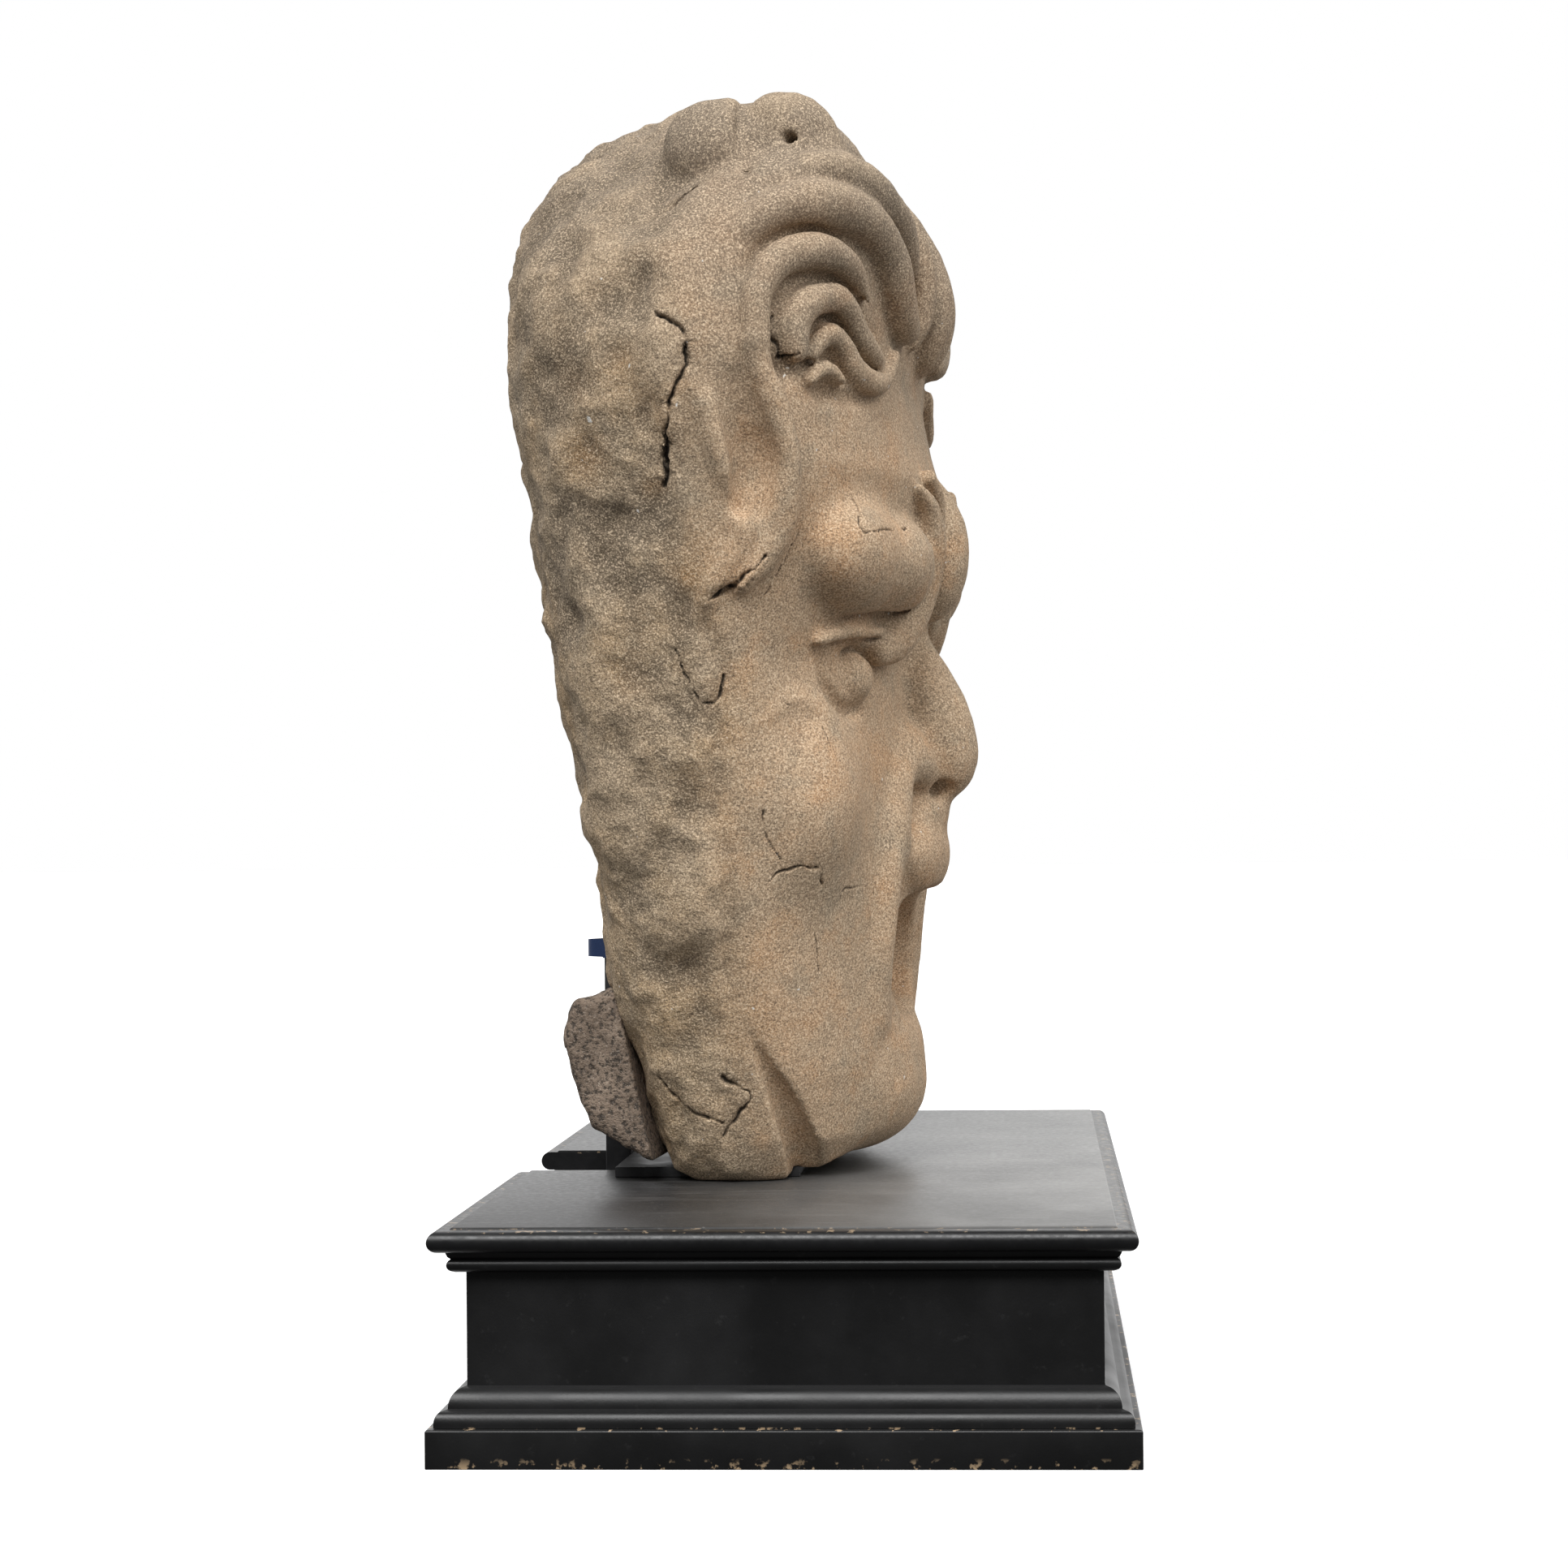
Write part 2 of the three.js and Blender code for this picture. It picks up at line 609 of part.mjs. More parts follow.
// A mesh that is refined where the stone's surface bends away from its flat triangles.
class StoneMesh {
  constructor() {
    this.rays = [];
    this.points = [];
    this.triangles = [];
    this.edges = new Map();
  }

  addVertex(core, direction) {
    this.rays.push({ core, direction });
    this.points.push(surfacePoint(core, direction));
    return this.points.length - 1;
  }

  edgeKey(a, b) {
    return a < b ? a * 65536 + b : b * 65536 + a;
  }

  // An edge's length on a smooth capsule round the core, which halves each time the edge is split.
  length(a, b) {
    const [p, q] = [this.rays[a], this.rays[b]];
    const [dx, dy, dz] = [0, 1, 2].map((i) => capsuleRadius * (p.direction[i] - q.direction[i]));
    return Math.hypot(dx, dy, dz + p.core - q.core);
  }

  addTriangle(a, b, c) {
    const id = this.triangles.length;
    this.triangles.push([a, b, c]);
    for (const [p, q] of [[a, b], [b, c], [c, a]]) {
      const key = this.edgeKey(p, q);
      if (!this.edges.has(key)) {
        this.edges.set(key, []);
      }
      this.edges.get(key).push(id);
    }
    return id;
  }

  removeTriangle(id) {
    const [a, b, c] = this.triangles[id];
    for (const [p, q] of [[a, b], [b, c], [c, a]]) {
      const around = this.edges.get(this.edgeKey(p, q));
      around.splice(around.indexOf(id), 1);
    }
    this.triangles[id] = null;
  }

  // The triangle's longest edge, and its third corner, in the triangle's own order.
  longestEdge(id) {
    const [a, b, c] = this.triangles[id];
    const turns = [[a, b, c], [b, c, a], [c, a, b]];
    const rank = ([p, q]) => this.length(p, q) + 1e-9 * this.edgeKey(p, q);
    return turns.reduce((best, turn) => (rank(turn) > rank(best) ? turn : best));
  }

  middleRay(corners) {
    const core = corners.reduce((sum, id) => sum + this.rays[id].core, 0) / corners.length;
    const sum = [0, 1, 2].map((i) => corners.reduce((total, id) => total + this.rays[id].direction[i], 0));
    const size = Math.hypot(...sum);
    return [core, sum.map((value) => value / size)];
  }

  // Halves a triangle and its neighbour across their common longest edge.
  split(id) {
    const made = [];
    while (this.triangles[id]) {
      const [a, b] = this.longestEdge(id);
      const other = this.edges.get(this.edgeKey(a, b)).find((each) => each !== id);
      const [p, q] = this.longestEdge(other);
      if (this.edgeKey(p, q) !== this.edgeKey(a, b)) {
        made.push(...this.split(other));
        continue;
      }
      const middle = this.addVertex(...this.middleRay([a, b]));
      for (const side of [id, other]) {
        const [start, end, tip] = this.longestEdge(side);
        this.removeTriangle(side);
        made.push(this.addTriangle(start, middle, tip), this.addTriangle(middle, end, tip));
      }
    }
    return made;
  }

  // How far the stone stands from the flat of a triangle, at its middle and half way along its edges.
  bend(id) {
    const corners = this.triangles[id];
    const [a, b, c] = corners.map((each) => new THREE.Vector3(...this.points[each]));
    const plane = new THREE.Plane().setFromCoplanarPoints(a, b, c);
    const [i, j, k] = corners;
    const samples = [[i, j, k], [i, j], [j, k], [k, i]];
    const away = samples.map((group) => {
      const point = surfacePoint(...this.middleRay(group));
      return Math.abs(plane.distanceToPoint(new THREE.Vector3(...point)));
    });
    const [start, end] = this.longestEdge(id);
    const size = this.length(start, end);
    return size < finestEdge ? 0 : Math.max(...away) + 0.02 * size;
  }
}

function stoneGeometry() {
  const mesh = new StoneMesh();
  const rings = meridian().map(([core, tilt]) => {
    const ring = [];
    const up = THREE.MathUtils.degToRad(tilt);
    for (let j = 0; j < aroundSteps; j++) {
      const turn = (2 * Math.PI * j) / aroundSteps;
      const level = Math.cos(up);
      ring.push(mesh.addVertex(core, [level * Math.cos(turn), level * Math.sin(turn), Math.sin(up)]));
    }
    return ring;
  });
  const foot = mesh.addVertex(coreLow, [0, 0, -1]);
  const head = mesh.addVertex(coreHigh, [0, 0, 1]);
  for (let j = 0; j < aroundSteps; j++) {
    const next = (j + 1) % aroundSteps;
    mesh.addTriangle(foot, rings[0][next], rings[0][j]);
    for (let i = 0; i < rings.length - 1; i++) {
      const [a, b] = [rings[i][j], rings[i][next]];
      const [c, d] = [rings[i + 1][j], rings[i + 1][next]];
      mesh.addTriangle(a, b, c);
      mesh.addTriangle(b, d, c);
    }
    mesh.addTriangle(rings[rings.length - 1][j], rings[rings.length - 1][next], head);
  }
  refine(mesh);
  relax(mesh, relaxRounds);
  const index = mesh.triangles.filter((each) => each).flat();
  return outwardFaces(geometryFrom(mesh.points.flat(), index));
}

// Moves each vertex along its ray, half way to being level with the middle of its neighbours.
function relax(mesh, rounds) {
  const along = ({ core, direction }, [x, y, z]) =>
    (x - coreX) * direction[0] + y * direction[1] + (z - core) * direction[2];
  const neighbours = mesh.rays.map(() => new Set());
  for (const [a, b, c] of mesh.triangles.filter((each) => each)) {
    [[a, b], [b, c], [c, a]].forEach(([p, q]) => neighbours[p].add(q));
  }
  for (let round = 0; round < rounds; round++) {
    const now = mesh.points;
    mesh.points = mesh.rays.map((ray, id) => {
      const around = [...neighbours[id]].map((each) => now[each]);
      const middle = [0, 1, 2].map((i) => around.reduce((sum, at) => sum + at[i], 0) / around.length);
      const reach = (along(ray, now[id]) + along(ray, middle)) / 2;
      const [dx, dy, dz] = ray.direction;
      return [coreX + reach * dx, reach * dy, Math.max(ray.core + reach * dz, 0)];
    });
  }
}

// Splits the worst triangles first, in rounds, until the mesh has its full count.
function refine(mesh) {
  let ranked = mesh.triangles.map((each, id) => ({ id, bend: mesh.bend(id) }));
  let count = ranked.length;
  while (count < meshTriangles) {
    ranked = ranked.filter(({ id }) => mesh.triangles[id]);
    ranked.sort((a, b) => b.bend - a.bend);
    const worst = ranked.slice(0, Math.ceil(ranked.length / 16));
    for (const { id } of worst) {
      if (mesh.triangles[id] && count < meshTriangles) {
        const made = mesh.split(id).filter((each) => mesh.triangles[each]);
        made.forEach((each) => ranked.push({ id: each, bend: mesh.bend(each) }));
      }
      count = 2 * mesh.points.length - 4;
    }
  }
}

// An old repair: a separate block of stone bedded against the back of the stone, on its right side.

const repair = {
  near: -215,
  far: -78,
  seamTop: [-156, 180],
  seamFoot: [-121, 16],
  bevel: 9,
  roomBefore: 60,
  roomPast: 4,
  bedBefore: 50,
  crest: [-136, 176],
  heel: [-101, 14],
  outline: [[-168, 186], [-196, 172], [-204, 160], [-207, 136], [-202, 105], [-196, 75], [-184, 52],
    [-154, 33], [-128, 21]],
};

// The room that the repair takes out of the stone, as an outline [x, z] carried along y.
function blockAlongY(outline, near, far, bevel) {
  const shape = new THREE.Shape(outline.map(([x, z]) => new THREE.Vector2(x * part, z * part)));
  const round = bevel * part;
  const depth = (far - near) * part - 2 * round;
  const block = new THREE.ExtrudeGeometry(shape, {
    depth, bevelEnabled: round > 0, bevelSize: round, bevelOffset: -round, bevelThickness: round,
    bevelSegments: 2,
  });
  block.rotateX(Math.PI / 2);
  return block.translate(0, far * part - round, 0);
}

const seamGap = touchGap / part;
const repairRoom = [
  repair.seamTop, [-176, 188], [-320, 188], [-320, -20], [-113, -20], repair.seamFoot,
];

// How far the rooms cut for the stand reach out behind the stone
const roomReach = 200;

// The stone and its repair are placed together, turned a little on the plinth towards the right side.
function addStone() {
  const placed = new THREE.Group();
  placed.position.set(maskSeat, 0, plinthHeight + touchGap);
  placed.rotation.z = -maskTurn;
  fountainMask.add(placed);
  placed.updateMatrix();
  const stone = stoneGeometry().scale(part, part, part);
  const plateRoom = boxGeometry(
    [plateLow[0] - roomReach, plateLow[1] - touchGap, 0],
    [plateHigh[0] + touchGap, plateHigh[1] + touchGap, plateHigh[2] + touchGap],
  );
  const postRoom = boxGeometry(
    [postBack - roomReach, -postWidth / 2 - touchGap, 0],
    [postFront + touchGap, postWidth / 2 + touchGap, plinthHeight + postAboveSlab + touchGap],
  );
  const tapeFoot = plinthHeight + tapeAboveSlab;
  const tapeRoom = boxGeometry(
    [postBack - roomReach, -postWidth / 2 - tapeClearance, tapeFoot - touchGap],
    [postFront + tapeClearance, postWidth / 2 + tapeClearance, tapeFoot + tapeWidth + touchGap],
  );
  const toStone = placed.matrix.clone().invert();
  const room = blockAlongY(repairRoom, repair.near - repair.roomBefore, repair.far + repair.roomPast, 0);
  const cut = solidFrom(stone)
    .subtract(solidFrom(plateRoom, toStone))
    .subtract(solidFrom(postRoom, toStone))
    .subtract(solidFrom(tapeRoom, toStone))
    .subtract(solidFrom(room));
  addMesh(placed, "mask", geometryOf(cut), paints.stone);
  const clear = repairRoom.map(([x, z]) => [x - seamGap, z - seamGap]);
  const bed = blockAlongY(clear, repair.near - repair.bedBefore, repair.far, 0);
  const spread = [repair.crest, ...repair.outline, repair.heel];
  const rough = blockAlongY(spread, repair.near, repair.far, repair.bevel);
  addMesh(placed, "repair_block", geometryOf(solidFrom(rough).intersect(solidFrom(bed))), paints.repair);
}

addPlinth();
addStand();
addTape();
addStone();

export default fountainMask;
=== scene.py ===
import math

import bmesh
import bpy
import numpy as np
from mathutils import Matrix, Vector
from mathutils.bvhtree import BVHTree
from mathutils.kdtree import KDTree


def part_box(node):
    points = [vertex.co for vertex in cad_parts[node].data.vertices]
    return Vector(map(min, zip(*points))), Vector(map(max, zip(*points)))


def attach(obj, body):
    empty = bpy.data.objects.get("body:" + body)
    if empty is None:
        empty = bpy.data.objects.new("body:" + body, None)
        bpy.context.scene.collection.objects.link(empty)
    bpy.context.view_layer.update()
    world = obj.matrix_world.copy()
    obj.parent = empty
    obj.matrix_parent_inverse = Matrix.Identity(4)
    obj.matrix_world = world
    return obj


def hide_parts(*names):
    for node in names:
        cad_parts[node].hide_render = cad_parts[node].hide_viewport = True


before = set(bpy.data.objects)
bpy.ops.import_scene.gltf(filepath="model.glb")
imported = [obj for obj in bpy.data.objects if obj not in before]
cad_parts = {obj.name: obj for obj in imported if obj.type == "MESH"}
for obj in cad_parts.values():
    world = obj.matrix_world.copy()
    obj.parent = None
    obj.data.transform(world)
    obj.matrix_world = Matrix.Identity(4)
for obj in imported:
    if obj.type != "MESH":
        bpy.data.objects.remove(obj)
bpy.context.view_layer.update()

# Grid steps in millimetres, the stone's triangles, and how far a cavity's shade reaches.
STONE_STEP, REPAIR_STEP, STONE_TRIANGLES = ((4.2, 2.6, 168000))
CAVITY_REACH = 9

# The carving is laid out in millimetres from the foot of the stone, forward along x, out to either
# side along y and up along z, as if the stone stood square. It is then turned and set on the plinth.
MM = 0.001
MASK_TURN = math.radians(4.5)
MASK_SEAT = -5.0
PLINTH_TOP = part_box("plinth_top")[1][2] / MM
TOUCH = 0.3
MASK_MATRIX = (
    Matrix.Translation((MASK_SEAT * MM, 0, (PLINTH_TOP + TOUCH) * MM))
    @ Matrix.Rotation(-MASK_TURN, 4, "Z")
    @ Matrix.Scale(MM, 4)
)

# Photograph: its side in pixels, the focal length and optical centre in those pixels, and where the
# camera stood, in metres.
PHOTO_SIDE = 1932
FOCAL_PIXELS = 3600
CENTRE_PIXELS = (1115, 1008)
CAMERA_AT = (0.206, -2.931, 0.542)
CAMERA_TURN = math.radians(2.34)
CAMERA_ROLL = math.radians(0.5)
SENSOR = 36.0


def linked(name, data):
    piece = bpy.data.objects.new(name, data)
    bpy.context.scene.collection.objects.link(piece)
    return piece


def add_camera():
    data = bpy.data.cameras.new("photo_camera")
    data.sensor_width = SENSOR
    data.lens = SENSOR * FOCAL_PIXELS / PHOTO_SIDE
    data.shift_x = 0.5 - CENTRE_PIXELS[0] / PHOTO_SIDE
    data.shift_y = CENTRE_PIXELS[1] / PHOTO_SIDE - 0.5
    data.clip_end = 50
    camera = linked("photo_camera", data)
    camera.matrix_world = (
        Matrix.Translation(CAMERA_AT)
        @ Matrix.Rotation(CAMERA_TURN, 4, "Z")
        @ Matrix.Rotation(math.pi / 2, 4, "X")
        @ Matrix.Rotation(-CAMERA_ROLL, 4, "Z")
    )
    bpy.context.scene.camera = camera


# The stone's block: height, front, back, half width, squareness of the face and of the back.
FACE_ROOT = -60.0
CROWN_TOP, CROWN_SAG, CROWN_HALF_WIDTH, CROWN_CURVE = 1048.0, 236.0, 365.0, 2.6
BACK_FALL_FROM, BACK_FALL, CROWN_ROUND = -80.0, 0.37, 50.0
LOBE_FROM, LOBE_FULL, LOBE_MIDDLE, CHIN_CLEAR = 120.0, 165.0, 177.0, 10.0
CROWN_SHARE, UNDER_ROUND, UNDER_FRONT_CURVE, UNDER_SIDE_CURVE = 0.8, 10.0, 160.0, 50.0
LEVELS = np.array([
    [-30, 30, -80, 150, 2.2, 4.0],
    [0, 50, -106, 192, 2.2, 4.0],
    [40, 84, -132, 214, 2.2, 4.0],
    [100, 96, -146, 236, 2.1, 4.0],
    [180, 98, -172, 262, 1.95, 4.0],
    [280, 104, -182, 288, 1.85, 3.8],
    [400, 104, -208, 312, 1.8, 3.6],
    [490, 98, -232, 326, 1.7, 3.5],
    [560, 112, -240, 336, 1.9, 3.4],
    [620, 126, -246, 346, 2.0, 3.3],
    [665, 130, -252, 353, 2.1, 3.2],
    [712, 116, -261, 360, 2.2, 3.1],
    [760, 106, -270, 365, 2.2, 3.0],
    [810, 109, -272, 367, 2.2, 2.9],
    [860, 112, -266, 368, 2.2, 2.8],
    [930, 99, -252, 368, 2.2, 2.6],
    [1000, 58, -232, 360, 2.2, 2.4],
    [1085, 0, -210, 340, 2.2, 2.2],
])

# Hair, brows and folds in relief: the blend, how far the line stands off the block where it is laid
# on it, then points (x, y, z, radius) along it.
RIDGES = {
    "crown roll": (14, -22, [
        (-90, 350, 850, 38), (-44, 322, 902, 40), (18, 284, 930, 40), (62, 226, 936, 36),
        (84, 160, 934, 28)]),
    "hair side": (18, -26, [
        (-80, 352, 700, 34), (-70, 352, 770, 36), (-56, 348, 832, 38), (-24, 332, 872, 38),
        (14, 312, 896, 32)]),
    "outer lock": (8, 6, [
        (-4, 338, 872, 12), (14, 322, 888, 19), (47, 294, 897, 22), (74, 236, 895, 22), (91, 186, 876, 22),
        (99, 158, 845, 21), (105, 132, 818, 19), (108, 106, 812, 14)]),
    "second lock": (4, 5, [
        (0, 344, 772, 13), (2, 344, 802, 14), (12, 338, 826, 16), (26, 328, 843, 17), (46, 300, 853, 17),
        (66, 264, 849, 15), (77, 240, 834, 11), (84, 226, 822, 7)]),
    "third lock": (3, 4, [
        (28, 318, 762, 15), (30, 318, 786, 16), (38, 308, 804, 16), (50, 292, 812, 15), (61, 274, 815, 15),
        (70, 256, 806, 14), (77, 240, 792, 13), (84, 220, 780, 12), (92, 196, 772, 10), (97, 182, 770, 7)]),
    "fourth lock": (3, 4, [
        (45, 302, 762, 9), (52, 291, 777, 11), (60, 275, 781, 11), (68, 259, 771, 12), (75, 244, 755, 13),
        (85, 218, 747, 13), (93, 188, 750, 11), (99, 160, 764, 9), (102, 140, 782, 7)]),
    "fifth lock": (3, 3, [
        (43, 303, 737, 7), (50, 292, 747, 9), (58, 280, 748, 9), (65, 268, 740, 8), (70, 258, 730, 5)]),
    "front lock": (6, 8, [
        (22, 300, 921, 13), (50, 262, 930, 17), (76, 206, 926, 20), (92, 152, 914, 21), (102, 116, 893, 17),
        (108, 96, 872, 9)]),
    "inner lock": (5, None, [
        (58, 84, 958, 12), (82, 80, 940, 16), (106, 72, 912, 18), (118, 66, 872, 18), (118, 66, 832, 15),
        (110, 70, 806, 9)]),
    "forelock": (5, None, [
        (45, 22, 985, 14), (65, 22, 962, 17), (90, 20, 935, 20), (109, 18, 900, 23), (121, 17, 862, 24),
        (122, 16, 835, 23), (115, 14, 810, 20), (104, 12, 794, 13)]),
    "ear rim": (8, -3, [
        (-60, 360, 740, 8), (-38, 357, 705, 13), (-24, 347, 664, 16), (-15, 337, 631, 16),
        (-14, 328, 596, 15), (-28, 330, 568, 13), (-46, 331, 541, 9)]),
    "temple strand": (10, 2, [
        (0, 346, 762, 14), (12, 336, 720, 15), (18, 322, 680, 16), (19, 314, 640, 17), (13, 310, 606, 16),
        (0, 312, 578, 14), (-18, 318, 556, 10)]),
    "brow scroll": (7, 6, [
        (98, 122, 660, 5), (114, 94, 640, 14), (120, 76, 608, 20), (116, 72, 570, 21), (106, 86, 538, 21),
        (96, 112, 512, 20), (84, 142, 500, 13)]),
    "brow rim": (4, 6, [
        (100, 92, 666, 8), (115, 64, 654, 10), (122, 48, 618, 11), (120, 46, 578, 11), (112, 60, 540, 10),
        (102, 84, 514, 8)]),
    "eyelid": (3, 5, [
        (36, 240, 508, 5), (48, 222, 514, 7), (60, 198, 519, 8), (74, 166, 522, 8), (84, 142, 522, 6)]),
    "nose": (14, None, [
        (76, 0, 535, 26), (100, 0, 490, 32), (118, 0, 448, 38), (125, 0, 412, 41), (126, 0, 398, 38)]),
    "nose wing": (10, None, [(96, 46, 420, 18), (106, 50, 398, 22), (110, 36, 386, 18)]),
    "cheek strand": (9, -4, [
        (-2, 286, 430, 4), (20, 256, 452, 9), (42, 226, 436, 11), (52, 211, 404, 12), (54, 206, 365, 11),
        (49, 210, 330, 9), (45, 214, 296, 5)]),
    "cheek fold": (22, None, [
        (98, 66, 412, 12), (96, 92, 362, 14), (90, 108, 310, 15), (84, 118, 255, 14), (78, 120, 200, 13),
        (74, 108, 150, 10)]),
}

# Swellings and hollows: the blend, the centre and the radii.
SWELLINGS = {
    "brow": (8, (86, 130, 584), (52, 78, 52)),
    "outer brow": (14, (60, 194, 588), (54, 92, 59)),
    "brow knob": (10, (112, 0, 607), (47, 44, 72)),
    "philtrum": (12, (98, 0, 350), (38, 50, 30)),
    "upper lip": (12, (102, 0, 306), (34, 84, 46)),
    "lower lip": (16, (76, 0, 122), (28, 84, 22)),
    "chin": (20, (46, 0, 78), (64, 120, 62)),
    "cheek": (30, (16, 205, 360), (56, 70, 90)),
    "crown lump behind": (8, (-48, 246, 954), (54, 54, 52)),
    "crown lump in front": (8, (14, 226, 962), (48, 52, 51)),
}
HOLLOWS = {
    "mouth": (8, (116, 0, 208), (112, 96, 66)),
    "eye recess": (6, (70, 176, 492), (20, 30, 14)),
    "nostril": (5, (130, 24, 370), (14, 10, 11)),
    "lock hollow": (6, (70, 288, 728), (24, 16, 14)),
}
# The eyeball, and then the grooves, laid out as the ridges are.
EYEBALL = (4, (54, 164, 474), (28, 28, 27))
CHANNELS = {
    "ear hollow": (14, 6, [(-16, 354, 728, 8), (-6, 350, 690, 17), (0, 340, 658, 21), (-8, 336, 626, 14)]),
    "beard cleft": (3, None, [
        (-24, 244, 142, 3), (-12, 228, 110, 8), (-1, 211, 82, 12), (8, 192, 50, 15), (14, 170, 20, 17),
        (16, 150, -10, 20)]),
    "block edge": (10, 1, [
        (-46, 330, 520, 3), (-30, 320, 470, 6), (-36, 310, 400, 7), (-44, 296, 320, 6), (-36, 280, 250, 7),
        (-42, 262, 170, 5)]),
    "under the cheek strand": (7, 4, [(34, 242, 404, 3), (38, 234, 370, 5), (36, 238, 335, 4)]),
    "under outer lock": (4, 2, [
        (-8, 348, 826, 3), (3, 345, 846, 5), (20, 334, 863, 6), (48, 296, 873, 6), (70, 254, 864, 6),
        (80, 232, 844, 6), (80, 230, 821, 6), (88, 206, 802, 5), (96, 170, 795, 3)]),
    "under second lock": (3, 2, [
        (6, 342, 782, 3), (15, 337, 802, 5), (26, 326, 819, 6), (44, 303, 828, 6), (62, 273, 831, 5),
        (73, 246, 826, 4)]),
    "under third lock": (3, 1, [
        (46, 298, 781, 4), (50, 293, 792, 5), (57, 280, 799, 5), (63, 268, 795, 5), (70, 254, 784, 5),
        (75, 240, 768, 4), (86, 214, 762, 3)]),
    "under fourth lock": (4, 2, [
        (47, 299, 728, 5), (58, 282, 729, 8), (70, 259, 729, 8), (83, 226, 728, 6), (97, 180, 734, 4)]),
    "under fifth lock": (3, 1, [
        (41, 306, 748, 3), (48, 294, 759, 5), (57, 280, 760, 6), (64, 267, 752, 5), (70, 257, 742, 4)]),
    "round the brow": (4, 8, [
        (118, 100, 612, 2), (118, 97, 590, 7), (108, 112, 552, 9), (98, 140, 534, 9), (84, 172, 528, 8),
        (66, 204, 530, 5)]),
    "eye crescent": (5, 1, [
        (42, 226, 498, 3), (41, 224, 474, 6), (50, 208, 453, 9), (60, 186, 442, 9), (68, 164, 446, 6)]),
    "over the lid": (3, 4, [(44, 238, 520, 2), (58, 208, 530, 4), (76, 170, 536, 5), (92, 134, 540, 4)]),
    "crown cleft": (6, None, [
        (-10, 306, 925, 3), (-14, 294, 950, 7), (-17, 276, 985, 8), (-20, 240, 1012, 8)]),
    "under the lumps": (8, 0, [
        (-96, 330, 905, 4), (-50, 320, 922, 8), (0, 300, 930, 9), (44, 268, 946, 7)]),
    "ear cut": (4, 2, [(6, 312, 580, 2), (-12, 320, 560, 5), (-44, 330, 540, 2)]),
}


# Holes drilled in the crown, (x, y, z, radius). Then the repair: its sloping bed (x, z), its ends
# along y, how far the bed runs above the seam and past each end, and its outline (x, z).
DRILLED = [
    [(20, -290, 966, 7), (26, -262, 960, 7), (30, -250, 956, 5)],
    [(34, -268, 950, 4), (42, -258, 944, 4)],
]
SEAM = ((-156, 180), (-121, 16))
REPAIR_Y = (-215, -78)
BED_ABOVE, BED_BEFORE, BED_PAST = 7, 50, 4
REPAIR_OUTLINE = [(-136, 176), (-168, 186), (-196, 172), (-204, 160), (-207, 136), (-202, 105), (-196, 75),
                  (-184, 52), (-154, 33), (-128, 21), (-101, 14)]


def smooth_min(a, b, blend):
    h = np.maximum(blend - np.abs(a - b), 0) / blend
    return np.minimum(a, b) - h * h * blend / 4


def smooth_max(a, b, blend):
    return -smooth_min(-a, -b, blend)


def smooth_step(value, low, high):
    t = np.clip((value - low) / (high - low), 0, 1)
    return t * t * (3 - 2 * t)


def block_field(x, y, z):
    y = np.abs(y)
    front, back, half_width, face_square, back_square = [
        np.interp(z, LEVELS[:, 0], LEVELS[:, i]) for i in range(1, 6)
    ]
    ahead = x > FACE_ROOT
    along = np.where(ahead, (x - FACE_ROOT) / (front - FACE_ROOT), (FACE_ROOT - x) / (FACE_ROOT - back))
    square = np.where(ahead, face_square, back_square)
    reach = (np.maximum(along, 1e-6) ** square + (y / half_width) ** square) ** (1 / square)
    radius = np.hypot(x - FACE_ROOT, y)
    side = radius * (1 - 1 / np.maximum(reach, 1e-6))
    fall = np.maximum(BACK_FALL_FROM - x, 0) * BACK_FALL
    crown = (z - CROWN_TOP + CROWN_SAG * (np.abs(y) / CROWN_HALF_WIDTH) ** CROWN_CURVE + fall) * CROWN_SHARE
    lobe = smooth_step(y, LOBE_FROM, LOBE_FULL)
    around = np.maximum(x - 10, 0) ** 2 / UNDER_FRONT_CURVE
    around = around + np.maximum(y - LOBE_MIDDLE, 0) ** 2 / UNDER_SIDE_CURVE
    under = CHIN_CLEAR * (1 - lobe) + around - z
    return smooth_max(smooth_max(side, crown, CROWN_ROUND), under, UNDER_ROUND)


def laid(points, lift):
    """Points moved on to the block's surface and then off it by the lift."""
    p = np.array(points, float)
    for target, rounds in ((0.0, 5), (lift, 1)):
        for _ in range(rounds):
            x, y, z = p[:, 0], p[:, 1], p[:, 2]
            slope = np.stack([block_field(x + 2, y, z) - block_field(x - 2, y, z),
                              block_field(x, y + 2, z) - block_field(x, y - 2, z),
                              block_field(x, y, z + 2) - block_field(x, y, z - 2)], 1) / 4
            steep = (slope ** 2).sum(1)
            if target:
                p[:, :3] += slope / np.sqrt(steep)[:, None] * target
            else:
                p[:, :3] -= slope * (block_field(x, y, z) / steep)[:, None]
    return p


def catmull(points, per_step):
    """A smooth line through the points, ends included, with every column carried along."""
    p = np.array(points, float)
    p = np.vstack([2 * p[0] - p[1], p, 2 * p[-1] - p[-2]])
    line = []
    for i in range(1, len(p) - 2):
        for t in np.linspace(0, 1, per_step, endpoint=False):
            a, b, c, d = p[i - 1], p[i], p[i + 1], p[i + 2]
            line.append(0.5 * (2 * b + (c - a) * t + (2 * a - 5 * b + 4 * c - d) * t * t
                               + (3 * b - a - 3 * c + d) * t ** 3))
    line.append(p[-2])
    return np.array(line)


